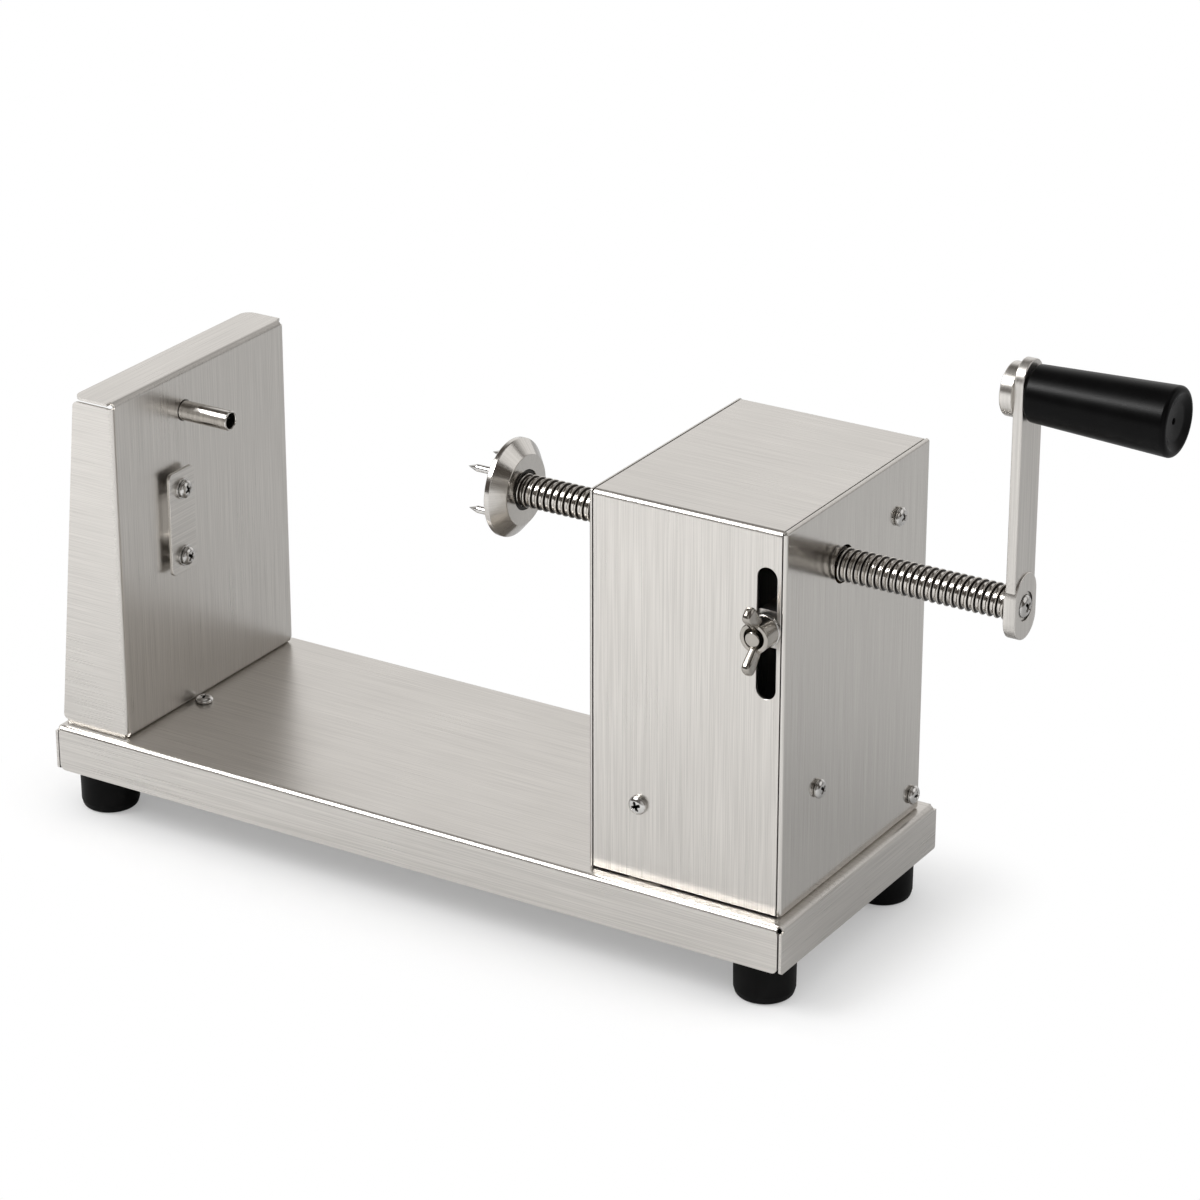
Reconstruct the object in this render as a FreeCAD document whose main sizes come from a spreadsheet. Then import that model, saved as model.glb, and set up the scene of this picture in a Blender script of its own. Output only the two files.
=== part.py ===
import FreeCAD, Part
import math
import os

import Sketcher

# Hand cranked spiral potato cutter. X runs along the base towards the crank, -Y is the operator's side,
# +Z is up. The origin is the centre of the base, on the surface that the four feet stand on.

Vector = FreeCAD.Vector

SIZES = {
    # folded sheet metal
    "sheet": 1.2,
    "bend": 2.4,
    # base tray
    "base_length": 350.0,
    "base_depth": 128.0,
    "base_flange": 20.0,
    "base_slit": 0.5,
    "base_corner": 1.0,
    # rubber feet and their bolts
    "ground_gap": 18.5,
    "foot_inset": 15.6,
    "foot_radius": 12.7,
    "foot_sole_radius": 10.4,
    "foot_round": 2.6,
    "foot_well_radius": 5.5,
    "foot_well_depth": 12.0,
    # M4 fasteners
    "screw_radius": 2.0,
    "screw_hole": 2.2,
    "head_radius": 3.9,
    "head_height": 2.7,
    "nut_flats": 7.0,
    "nut_height": 3.2,
    "screw_tail": 1.2,
    # M3 fasteners inside the housing
    "small_screw_radius": 1.5,
    "small_screw_hole": 1.7,
    "small_head_radius": 2.8,
    "small_head_height": 2.0,
    "small_nut_flats": 5.5,
    "small_nut_height": 2.4,
    # blade stand
    "stand_end_gap": 2.0,
    "stand_wall_inset": 35.0,
    "stand_side_gap": 4.0,
    "stand_above_axis": 17.8,
    "stand_top_depth": 20.0,
    "stand_slit": 0.9,
    "stand_corner": 5.0,
    "stand_foot_inset": 1.6,
    "stop_screw_gap": 0.5,
    "stop_screw_length": 5.5,
    # axis of the screw and of the skewer
    "axis_forward": 12.0,
    "axis_height": 131.7,
    # skewer tube
    "tube_radius": 4.2,
    "tube_bore": 3.3,
    "tube_front": 24.0,
    "tube_back": 15.0,
    "tube_hole_gap": 0.4,
    "collar_radius": 8.0,
    "collar_length": 7.0,
    # blade
    "blade_width": 17.0,
    "blade_length": 45.5,
    "blade_sheet": 1.5,
    "blade_standoff": 2.5,
    "blade_corner": 2.5,
    "blade_bevel": 3.0,
    "blade_edge": 0.2,
    "blade_drop": 22.8,
    "blade_screw_pitch": 30.0,
    "blade_screw_inset": 8.2,
    "blade_spacer_radius": 4.0,
    "blade_washer_radius": 4.5,
    "blade_washer": 0.8,
    "mouth_width": 9.0,
    "mouth_length": 21.0,
    # drive housing
    "housing_end_gap": 4.6,
    "housing_length": 86.0,
    "housing_side_gap": 7.0,
    "housing_above_axis": 28.3,
    "housing_lift": 0.8,
    "panel": 1.5,
    "panel_round": 1.3,
    "panel_gap": 0.5,
    "left_foot_flange": 12.0,
    "right_foot_flange": 22.0,
    "screw_port_radius": 7.6,
    "left_flange_screw_spread": 70.0,
    "flange_screw_inset": 5.4,
    # slot in the cover
    "slot_edge": 1.8,
    "slot_width": 8.5,
    "slot_above_stud": 25.0,
    "slot_end_play": 1.6,
    # screws of the housing: height above the tray or the axis, distance from the housing's middle plane
    "cover_screw_inset": 22.7,
    "cover_screw_height": 32.8,
    "guide_screw_back": 32.0,
    "guide_screw_above_axis": 4.1,
    "guide_screw_front": 29.0,
    "guide_screw_low": 44.4,
    "tab_screw_inset": 6.8,
    "tab_screw_height": 8.6,
    "tab_size": 13.0,
    # chassis channel with the two bushes
    "chassis_left_gap": 1.6,
    "chassis_right_gap": 0.4,
    "chassis_sheet": 2.0,
    "chassis_bend": 3.0,
    "chassis_width": 50.0,
    "chassis_above_axis": 20.3,
    "chassis_corner": 9.0,
    "chassis_tab_width": 16.0,
    "chassis_tab_height": 41.0,
    "chassis_tab_gap": 0.5,
    "chassis_screw_span": 32.0,
    "chassis_screw_inset": 10.0,
    # bushes
    "bush_radius": 10.0,
    "bush_flange_radius": 13.0,
    "bush_flange": 2.5,
    "bush_neck": 4.0,
    "bush_clearance": 0.05,
    # lead screw and pusher
    "lead_radius": 6.75,
    "lead_left": 26.3,
    "lead_right": 241.9,
    "lead_spigot_radius": 5.0,
    "lead_spigot_length": 5.4,
    "lead_square": 8.0,
    "lead_square_length": 2.4,
    "lead_chamfer": 0.8,
    "socket_radius": 3.5,
    "socket_depth": 32.0,
    "pusher_radius": 20.1,
    "pusher_rim": 2.2,
    "pusher_thickness": 7.2,
    "pusher_back_radius": 14.4,
    "pusher_well_radius": 8.3,
    "pusher_well_depth": 1.4,
    "pusher_clearance": 0.05,
    "washer_clearance": 0.1,
    "washer_thickness": 1.0,
    "prong_count": 4.0,
    "prong_circle": 12.5,
    "prong_radius": 1.5,
    "prong_length": 14.0,
    "prong_point": 4.0,
    # half nut and its carriage
    "guide_sheet": 2.0,
    "guide_play": 0.3,
    "guide_margin": 8.0,
    "guide_port_radius": 9.5,
    "guide_lip": 6.0,
    "guide_lip_sheet": 1.5,
    "guide_lip_run_out": 10.1,
    "guide_lip_above_axis": 4.3,
    "carriage_height": 15.0,
    "carriage_travel": 24.0,
    "carriage_drop": 12.1,
    "carriage_round": 1.0,
    "half_nut_width": 24.0,
    "half_nut_seat": 8.6,
    "half_nut_gap": 0.4,
    "half_nut_clearance": 0.1,
    "carriage_heel": 2.0,
    "seat_clearance": 0.05,
    # clamp
    "clamp_gap": 0.2,
    "stud_radius": 3.0,
    "stud_depth": 12.0,
    "stud_end": 1.3,
    "stud_clearance": 0.05,
    "clamp_washer_radius": 6.5,
    "clamp_washer": 1.6,
    "wing_hub_radius": 5.7,
    "wing_hub_front_radius": 5.2,
    "wing_hub_length": 8.0,
    "wing_thickness": 3.0,
    "wing_radius": 3.4,
    "wing_root_drop": 3.6,
    "wing_tip_rise": 11.0,
    "wing_tip_spread": 11.2,
    # crank
    "crank_length": 84.5,
    "arm_width": 16.4,
    "arm_thickness": 4.0,
    "arm_overhang": 12.8,
    "lug_width": 17.5,
    "lug_overhang": 13.2,
    "lug_back": 0.4,
    "lug_front": 0.7,
    "crank_screw_radius": 2.5,
    "crank_head_radius": 4.5,
    "crank_head_height": 3.0,
    "crank_well_radius": 5.7,
    "crank_well_depth": 1.8,
    "crank_screw_length": 14.0,
    "pin_head_radius": 10.3,
    "pin_head": 5.0,
    "pin_radius": 4.0,
    "pin_length": 48.0,
    "pin_clearance": 0.06,
    "grip_gap": 0.7,
    "grip_length": 57.0,
    "grip_near_radius": 10.8,
    "grip_far_radius": 13.3,
    "grip_chamfer": 1.8,
    "grip_near_round": 1.2,
    "grip_dish": 0.8,
    "grip_dish_radius": 9.6,
    "grip_vent": 1.2,
    "clip_radius": 5.6,
    "clip_thickness": 1.2,
    "clip_inset": 3.0,
    "clip_groove": 0.8,
    "clip_play": 0.3,
}


class Size:
    """A length with its value and the sheet formula that it comes from."""

    def __init__(self, value, formula):
        self.value = value
        self.formula = formula

    def joined(self, value, sign, other):
        return Size(value, "(%s %s %s)" % (self.formula, sign, other.formula))

    def __add__(self, other):
        other = as_size(other)
        return self.joined(self.value + other.value, "+", other)

    def __sub__(self, other):
        other = as_size(other)
        return self.joined(self.value - other.value, "-", other)

    def __mul__(self, other):
        other = as_size(other)
        return self.joined(self.value * other.value, "*", other)

    def __truediv__(self, other):
        other = as_size(other)
        return self.joined(self.value / other.value, "/", other)

    def __radd__(self, other):
        return as_size(other) + self

    def __rsub__(self, other):
        return as_size(other) - self

    def __rmul__(self, other):
        return as_size(other) * self

    def __neg__(self):
        return as_size(0) - self

    def __float__(self):
        return self.value


def as_size(number):
    """A plain number as a Size, so that both can stand in one formula."""
    return number if isinstance(number, Size) else Size(float(number), repr(float(number)))


class Sheet:
    """The document's spreadsheet; each of its aliases reads as an attribute."""

    def __init__(self, doc, sizes):
        self.cells = doc.addObject("Spreadsheet::Sheet", "Sizes")
        for row, (name, value) in enumerate(sizes.items(), start=1):
            self.cells.set("A%d" % row, name)
            self.cells.set("B%d" % row, str(value))
            self.cells.setAlias("B%d" % row, name)
        doc.recompute()

    def __getattr__(self, name):
        return Size(float(self.cells.get(name)), "Sizes." + name)


doc = FreeCAD.newDocument("PotatoCutter")
S = Sheet(doc, SIZES)

# Places that several pieces share.
base_right = S.base_length / 2
base_left = -base_right
base_back = S.base_depth / 2
tray_top = S.ground_gap + S.base_flange
foot_x = base_right - S.foot_inset
foot_y = base_back - S.foot_inset

axis_y = -S.axis_forward
axis_z = tray_top + S.axis_height

wall_face = base_left + S.stand_wall_inset
wall_back = wall_face - S.sheet
stand_left = base_left + S.stand_end_gap
stand_side = base_back - S.stand_side_gap
stand_top = axis_z + S.stand_above_axis

housing_right = base_right - S.housing_end_gap
housing_left = housing_right - S.housing_length
housing_back = base_back - S.housing_side_gap
housing_top = axis_z + S.housing_above_axis
panel_inside = housing_right - S.panel
cover_right = panel_inside - S.panel_gap
cover_left = housing_left + S.panel + S.panel_gap
cover_inside = housing_back - S.sheet

slot_x = cover_right - S.slot_edge - S.slot_width / 2
guide_face = panel_inside - S.guide_sheet
carriage_half = guide_face - S.guide_play - slot_x
stud_z = axis_z - S.carriage_drop
carriage_top = stud_z + S.carriage_height / 2
lowest_stud_z = stud_z - S.carriage_travel

chassis_left = housing_left + S.left_foot_flange + S.chassis_left_gap
chassis_right = housing_right - S.right_foot_flange - S.chassis_right_gap
chassis_front = axis_y - S.chassis_width / 2
chassis_back = axis_y + S.chassis_width / 2
cover_screw_x = housing_left + S.cover_screw_inset
cover_screw_z = tray_top + S.cover_screw_height

blade_back = wall_face + S.blade_standoff
blade_front = blade_back + S.blade_sheet
blade_right = axis_y - S.blade_edge
blade_left = blade_right - S.blade_width
blade_top = axis_z - S.blade_drop
blade_bottom = blade_top - S.blade_length
blade_screw_y = blade_right - S.blade_width / 2
blade_screw_high = blade_top - S.blade_screw_inset
blade_screw_low = blade_screw_high - S.blade_screw_pitch

arm_inside = S.lead_right + S.lug_back
arm_outside = arm_inside + S.arm_thickness
lug_outside = arm_outside + S.lug_front
pin_z = axis_z + S.crank_length


def plane_of(body, role):
    """One of the body's own origin planes or axes."""
    return next(f for f in body.Origin.OriginFeatures if f.Role == role)


def new_body(label):
    body = doc.addObject("PartDesign::Body", label)
    body.Label = label
    return body


def place(obj, x=0, y=0, z=0):
    """Ties the object's position to the sheet."""
    for letter, value in zip("xyz", (x, y, z)):
        value = as_size(value)
        obj.setExpression(".Placement.Base." + letter, value.formula)
    return obj


class Drawing:
    """A sketch on a body's own plane, at a distance along X, Y or Z, with each point tied to the sheet."""

    NORMAL_SIGN = {"XY": 1, "XZ": -1, "YZ": 1}

    def __init__(self, body, plane, at=0):
        self.body = body
        self.sketch = body.newObject("Sketcher::SketchObject", "Sketch")
        self.sketch.AttachmentSupport = [(plane_of(body, plane + "_Plane"), "")]
        self.sketch.MapMode = "FlatFace"
        shift = as_size(at) * self.NORMAL_SIGN[plane]
        self.sketch.AttachmentOffset = FreeCAD.Placement(Vector(0, 0, shift.value), FreeCAD.Rotation())
        self.sketch.setExpression("AttachmentOffset.Base.z", shift.formula)

    def dimension(self, kind, *args):
        """A constraint whose last argument is a Size."""
        size = as_size(args[-1])
        index = self.sketch.addConstraint(Sketcher.Constraint(kind, *args[:-1], size.value))
        self.sketch.setExpression("Constraints[%d]" % index, size.formula)

    def pin_point(self, geometry, end, x, y):
        self.dimension("DistanceX", -1, 1, geometry, end, x)
        self.dimension("DistanceY", -1, 1, geometry, end, y)

    def polygon(self, points):
        """A closed outline through the points."""
        flat = [Vector(float(x), float(y), 0) for x, y in points]
        first = self.sketch.GeometryCount
        for start, end in zip(flat, flat[1:] + flat[:1]):
            self.sketch.addGeometry(Part.LineSegment(start, end), False)
        for k in range(len(flat)):
            after = first + (k + 1) % len(flat)
            self.sketch.addConstraint(Sketcher.Constraint("Coincident", first + k, 2, after, 1))
        for k, (x, y) in enumerate(points):
            self.pin_point(first + k, 1, x, y)
        return self

    def rectangle(self, left, right, low, high):
        return self.polygon([(left, low), (right, low), (right, high), (left, high)])

    def circle(self, x, y, radius):
        centre = Vector(float(x), float(y), 0)
        index = self.sketch.addGeometry(Part.Circle(centre, Vector(0, 0, 1), float(radius)), False)
        self.pin_point(index, 3, x, y)
        self.dimension("Radius", index, radius)
        return self

    def slot(self, start, end, radius):
        """An outline with two straight sides and a half round at the start and at the end."""
        a = Vector(float(start[0]), float(start[1]), 0)
        b = Vector(float(end[0]), float(end[1]), 0)
        heading = math.atan2(b.y - a.y, b.x - a.x)
        r = float(radius)
        side = Vector(-math.sin(heading), math.cos(heading), 0) * r
        round_b = Part.ArcOfCircle(
            Part.Circle(b, Vector(0, 0, 1), r), heading - math.pi / 2, heading + math.pi / 2
        )
        round_a = Part.ArcOfCircle(
            Part.Circle(a, Vector(0, 0, 1), r), heading + math.pi / 2, heading + 3 * math.pi / 2
        )
        first = self.sketch.addGeometry(
            [round_b, Part.LineSegment(b + side, a + side), round_a, Part.LineSegment(a - side, b - side)],
            False,
        )[0]
        for k in range(4):
            after = first + (k + 1) % 4
            self.sketch.addConstraint(Sketcher.Constraint("Tangent", first + k, 2, after, 1))
        self.pin_point(first, 3, *end)
        self.pin_point(first + 2, 3, *start)
        self.dimension("Radius", first, radius)
        return self


def pad(drawing, length, against=False):
    """Adds material along the plane's normal (X, -Y or Z), or against it."""
    feature = drawing.body.newObject("PartDesign::Pad", "Pad")
    feature.Profile = drawing.sketch
    feature.setExpression("Length", as_size(length).formula)
    feature.Reversed = against
    doc.recompute()
    return feature


def pocket(drawing, length, along=False):
    """Removes material against the plane's normal (X, -Y or Z), or along it, and makes sure that it did."""
    before = drawing.body.Shape.Volume
    feature = drawing.body.newObject("PartDesign::Pocket", "Pocket")
    feature.Profile = drawing.sketch
    feature.setExpression("Length", as_size(length).formula)
    feature.Reversed = along
    doc.recompute()
    if not drawing.body.Shape.Volume < before:
        raise RuntimeError("a pocket of %s cuts nothing" % drawing.body.Label)
    return feature


def revolve(drawing, axis):
    """Turns the outline about one of the body's own axes."""
    feature = drawing.body.newObject("PartDesign::Revolution", "Revolution")
    feature.Profile = drawing.sketch
    feature.ReferenceAxis = (plane_of(drawing.body, axis + "_Axis"), [""])
    feature.Angle = 360
    doc.recompute()
    return feature


def groove(drawing, axis):
    before = drawing.body.Shape.Volume
    feature = drawing.body.newObject("PartDesign::Groove", "Groove")
    feature.Profile = drawing.sketch
    feature.ReferenceAxis = (plane_of(drawing.body, axis + "_Axis"), [""])
    feature.Angle = 360
    doc.recompute()
    if not drawing.body.Shape.Volume < before:
        raise RuntimeError("a groove of %s cuts nothing" % drawing.body.Label)
    return feature


def near(value, size, tolerance=0.01):
    return abs(value - float(size)) < tolerance


def spans(edge, letter, low, high):
    """Does the edge run from low to high along X, Y or Z?"""
    box = edge.BoundBox
    return near(getattr(box, letter + "Min"), low) and near(getattr(box, letter + "Max"), high)


def at(edge, letter, value):
    """Does the whole edge lie at one X, Y or Z?"""
    return spans(edge, letter, value, value)


def dress(body, kind, choose, radius):
    """A fillet or chamfer on each edge of the body that choose picks."""
    base = body.Tip
    names = ["Edge%d" % n for n, edge in enumerate(base.Shape.Edges, start=1) if choose(edge)]
    if not names:
        raise RuntimeError("no edge of %s is picked" % body.Label)
    feature = body.newObject("PartDesign::" + kind, kind)
    feature.Base = (base, names)
    feature.setExpression("Radius" if kind == "Fillet" else "Size", as_size(radius).formula)
    doc.recompute()
    return feature


def fillet(body, choose, radius):
    return dress(body, "Fillet", choose, radius)


def chamfer(body, choose, size):
    return dress(body, "Chamfer", choose, size)


def hollow(body, choose_open_face, wall):
    """Turns the solid into a shell of one wall, open at the picked faces."""
    base = body.Tip
    names = ["Face%d" % n for n, face in enumerate(base.Shape.Faces, start=1) if choose_open_face(face)]
    feature = body.newObject("PartDesign::Thickness", "Thickness")
    feature.Base = (base, names)
    feature.setExpression("Value", as_size(wall).formula)
    feature.Reversed = True
    feature.Mode = 0
    feature.Join = 0
    doc.recompute()
    return feature


def make_base_tray():
    """Sheet pan, open below: four flanges folded down from one plate, slit at the corners."""
    body = new_body("base_tray")
    plate = Drawing(body, "XY", S.ground_gap).rectangle(base_left, base_right, -base_back, base_back)
    pad(plate, S.base_flange)
    fillet(body, lambda e: at(e, "Z", tray_top), S.bend)
    hollow(body, lambda f: near(f.BoundBox.ZMax, S.ground_gap), S.sheet)
    corners = Drawing(body, "XY", S.ground_gap)
    reach = S.bend
    half = S.base_slit * (0.5 / math.sqrt(2))
    for sx in (-1, 1):
        for sy in (-1, 1):
            x = base_right * sx
            y = base_back * sy
            corners.polygon(
                [
                    (x + sx * (S.sheet - half), y + sy * (S.sheet + half)),
                    (x + sx * (S.sheet + half), y + sy * (S.sheet - half)),
                    (x - sx * (reach - half), y - sy * (reach + half)),
                    (x - sx * (reach + half), y - sy * (reach - half)),
                ]
            )
    pocket(corners, S.base_flange - S.bend, along=True)
    fillet(body, lambda e: at(e, "Z", S.ground_gap) and e.Length < 2 * S.sheet.value, S.base_corner)
    holes = Drawing(body, "XY", tray_top)
    for x, y in foot_places():
        holes.circle(x, y, S.screw_hole)
    for x, y in chassis_screw_places() + left_flange_screw_places():
        holes.circle(x, y, S.small_screw_hole)
    holes.circle(*stop_screw_place(), S.screw_radius + S.seat_clearance)
    pocket(holes, S.bend)


def foot_places():
    return [(foot_x * sx, foot_y * sy) for sx in (-1, 1) for sy in (-1, 1)]


def stop_screw_place():
    """The screw whose head stops the stand's wall at its foot."""
    return (wall_face + S.head_radius + S.stop_screw_gap, axis_y)


def left_flange_screw_places():
    x = housing_left + S.left_foot_flange - S.flange_screw_inset
    return [(x, S.left_flange_screw_spread / 2 * side) for side in (-1, 1)]


def chassis_screw_places():
    span = S.chassis_screw_span / 2
    ends = (chassis_left + S.chassis_screw_inset, chassis_right - S.chassis_screw_inset)
    return [(x, axis_y + span * side) for x in ends for side in (-1, 1)]


def make_foot(label, x, y):
    """Rubber foot, narrower at its sole, with a well for the bolt's head."""
    body = new_body(label)
    height = tray_top - S.sheet
    profile = Drawing(body, "XZ").polygon(
        [
            (S.screw_hole, S.foot_well_depth),
            (S.foot_well_radius, S.foot_well_depth),
            (S.foot_well_radius, 0),
            (S.foot_sole_radius, 0),
            (S.foot_radius, S.foot_round),
            (S.foot_radius, height),
            (S.screw_hole, height),
        ]
    )
    revolve(profile, "Z")
    place(body, x, y)


def turned(outline):
    """Turns an outline of (radius, height) points about the Z axis."""
    points = [Vector(float(radius), 0, float(height)) for radius, height in outline]
    face = Part.Face(Part.makePolygon(points + points[:1]))
    return face.revolve(Vector(), Vector(0, 0, 1), 360)


def pan_screw(length, shank, head_radius, head_height):
    """A pan head screw whose head stands on z = 0 and whose shank runs down from there."""
    outline = [
        (0, -length),
        (shank, -length),
        (shank, 0),
        (head_radius, 0),
        (head_radius, head_height),
        (0, head_height),
    ]
    return turned(outline)


def m4_screw(length):
    return pan_screw(length, S.screw_radius, S.head_radius, S.head_height)


def m3_screw(length):
    return pan_screw(length, S.small_screw_radius, S.small_head_radius, S.small_head_height)


def hexagon_nut(flats, height, screw_radius):
    """A hexagon nut on z = 0."""
    corner = flats.value / math.sqrt(3)
    points = [
        Vector(corner * math.cos(math.radians(60 * k)), corner * math.sin(math.radians(60 * k)), 0)
        for k in range(7)
    ]
    prism = Part.Face(Part.makePolygon(points)).extrude(Vector(0, 0, height.value))
    return prism.cut(Part.makeCylinder(screw_radius.value + S.stud_clearance.value, height.value))


def m4_nut():
    return hexagon_nut(S.nut_flats, S.nut_height, S.screw_radius)


def m3_nut():
    return hexagon_nut(S.small_nut_flats, S.small_nut_height, S.small_screw_radius)


def ring(outer, inner, height):
    return turned([(inner, 0), (outer, 0), (outer, height), (inner, height)])


UP = Vector(0, 0, 1)
DOWN = Vector(0, 0, -1)
RIGHT = Vector(1, 0, 0)
LEFT = Vector(-1, 0, 0)
FRONT = Vector(0, -1, 0)
BACK = Vector(0, 1, 0)


def copies(shape, places, towards):
    """Copies of one small piece, drawn along +Z, with that direction turned to towards."""
    turn = FreeCAD.Rotation(UP, towards)
    made = []
    for spot in places:
        copy = shape.copy()
        copy.Placement = FreeCAD.Placement(Vector(*map(float, spot)), turn)
        made.append(copy)
    return made


def feature(label, solids):
    """A sub-part that holds several separate solids."""
    made = doc.addObject("Part::Feature", label)
    made.Label = label
    made.Shape = Part.Compound(solids)


def group(label, shape, places, towards):
    feature(label, copies(shape, places, towards))


def make_foot_bolts():
    """Bolts that come up through the feet, the tray and the flange that stands on it, with their nuts."""
    well = S.foot_well_depth
    clamped = tray_top + S.panel
    length = clamped - well + S.nut_height + S.screw_tail
    places = [(x, y, well) for x, y in foot_places()]
    group("foot_bolts", m4_screw(length), places, DOWN)
    left = [(x, y, tray_top + S.sheet) for x, y in foot_places()[:2]]
    right = [(x, y, clamped) for x, y in foot_places()[2:]]
    group("foot_nuts", m4_nut(), left + right, UP)


def make_blade_stand():
    """Folded stand: wall, top flange, two tapered cheeks and a foot flange, open at the back."""
    body = new_body("blade_stand")
    top_back = wall_face - S.stand_top_depth
    side = Drawing(body, "XZ", stand_side).polygon(
        [
            (stand_left, tray_top),
            (wall_face, tray_top),
            (wall_face, stand_top),
            (top_back, stand_top),
        ]
    )
    pad(side, 2 * stand_side)
    fillet(body, lambda e: at(e, "X", wall_face), S.bend)
    room = Drawing(body, "XZ", S.sheet - stand_side).rectangle(
        stand_left - S.bend, wall_back, tray_top + S.sheet, stand_top - S.sheet
    )
    pocket(room, 2 * (stand_side - S.sheet))
    fillet(body, lambda e: at(e, "X", wall_back), S.bend - S.sheet)
    make_stand_slits(body)
    fillet(
        body,
        lambda e: near(e.BoundBox.ZMin, stand_top - S.sheet)
        and near(e.BoundBox.ZMax, stand_top)
        and e.BoundBox.XMax < float(top_back) + 1,
        S.stand_corner,
    )
    wall = Drawing(body, "YZ", wall_face)
    wall.circle(axis_y, axis_z, S.tube_radius + S.tube_hole_gap)
    for z in (blade_screw_high, blade_screw_low):
        wall.circle(blade_screw_y, z, S.screw_hole)
    middle = (blade_screw_high + blade_screw_low) / 2
    reach = (S.mouth_length - S.mouth_width) / 2
    wall.slot((blade_screw_y, middle - reach), (blade_screw_y, middle + reach), S.mouth_width / 2)
    pocket(wall, S.bend)
    foot = Drawing(body, "XY", tray_top + S.sheet)
    for x, y in foot_places()[:2]:
        foot.circle(x, y, S.screw_hole)
    pocket(foot, S.bend)


def make_stand_slits(body):
    """Parts the cheeks from the top flange and from the foot flange, up to the wall's bends."""
    under_top = stand_top - S.sheet
    bend_start = wall_face - S.bend
    top_slit = Drawing(body, "XZ", -stand_side).rectangle(
        stand_left, bend_start, under_top - S.stand_slit, under_top
    )
    pocket(top_slit, 2 * stand_side)
    foot_slit = Drawing(body, "XY", tray_top)
    for sign in (-1, 1):
        inner = (stand_side - S.stand_foot_inset) * sign
        outer = stand_side * sign
        foot_slit.rectangle(stand_left, bend_start, *sorted((inner, outer), key=float))
    pocket(foot_slit, S.sheet + S.stand_slit, along=True)


def make_tray_fasteners():
    """The stop screw, tapped into the tray, and the smaller ones of the left flange and the chassis."""
    plate = S.sheet + S.small_nut_height + S.screw_tail
    stop = [(*stop_screw_place(), tray_top)]
    flange = [(x, y, tray_top + S.panel) for x, y in left_flange_screw_places()]
    chassis = [(x, y, tray_top + S.chassis_sheet) for x, y in chassis_screw_places()]
    screws = (
        copies(m4_screw(S.stop_screw_length), stop, UP)
        + copies(m3_screw(plate + S.panel), flange, UP)
        + copies(m3_screw(plate + S.chassis_sheet), chassis, UP)
    )
    feature("tray_screws", screws)
    nuts = [(x, y, tray_top - S.sheet) for x, y, z in flange + chassis]
    group("tray_nuts", m3_nut(), nuts, DOWN)


def make_skewer_tube():
    """Thin tube through the wall that the skewer slides in, and the collar that holds it from behind."""
    tube = new_body("skewer_tube")
    length = S.tube_front + S.sheet + S.tube_back
    profile = Drawing(tube, "XY").rectangle(0, length, S.tube_bore, S.tube_radius)
    revolve(profile, "X")
    outer = 2 * math.pi * S.tube_radius.value
    chamfer(tube, lambda e: at(e, "X", length) and near(e.Length, outer), (S.tube_radius - S.tube_bore) / 2)
    place(tube, wall_back - S.tube_back, axis_y, axis_z)
    collar = new_body("tube_collar")
    profile = Drawing(collar, "XY").rectangle(
        0, S.collar_length, S.tube_radius + S.stud_clearance, S.collar_radius
    )
    revolve(profile, "X")
    place(collar, wall_back - S.collar_length, axis_y, axis_z)


def make_blade():
    """Flat blade that stands off the wall; its edge lies on the radial line below the axis."""
    body = new_body("blade")
    plate = Drawing(body, "YZ", blade_back).rectangle(blade_left, blade_right, blade_bottom, blade_top)
    pad(plate, S.blade_sheet)
    is_corner = lambda e: spans(e, "X", blade_back, blade_front)
    fillet(body, is_corner, S.blade_corner)
    bevel = Drawing(body, "XY", blade_bottom).polygon(
        [
            (blade_back, blade_right - S.blade_bevel),
            (blade_back, blade_right),
            (blade_front - S.blade_edge, blade_right),
        ]
    )
    pocket(bevel, S.blade_length, along=True)
    holes = Drawing(body, "YZ", blade_front)
    for z in (blade_screw_high, blade_screw_low):
        holes.circle(blade_screw_y, z, S.screw_hole)
    pocket(holes, S.blade_sheet)


def make_blade_fasteners():
    heights = (blade_screw_high, blade_screw_low)
    spots = [(blade_screw_y, z) for z in heights]
    head_seat = blade_front + S.blade_washer
    length = head_seat - wall_back + S.nut_height + S.screw_tail
    spacer = ring(S.blade_spacer_radius, S.screw_hole, S.blade_standoff)
    washer = ring(S.blade_washer_radius, S.screw_hole, S.blade_washer)
    group("blade_spacers", spacer, [(wall_face, y, z) for y, z in spots], RIGHT)
    group("blade_washers", washer, [(blade_front, y, z) for y, z in spots], RIGHT)
    group("blade_screws", m4_screw(length), [(head_seat, y, z) for y, z in spots], RIGHT)
    group("blade_nuts", m4_nut(), [(wall_back, y, z) for y, z in spots], LEFT)


def is_end_face(face, places):
    """Does the face lie flat at one of these X places?"""
    return face.BoundBox.XLength < 0.01 and any(near(face.BoundBox.XMin, x) for x in places)


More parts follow.
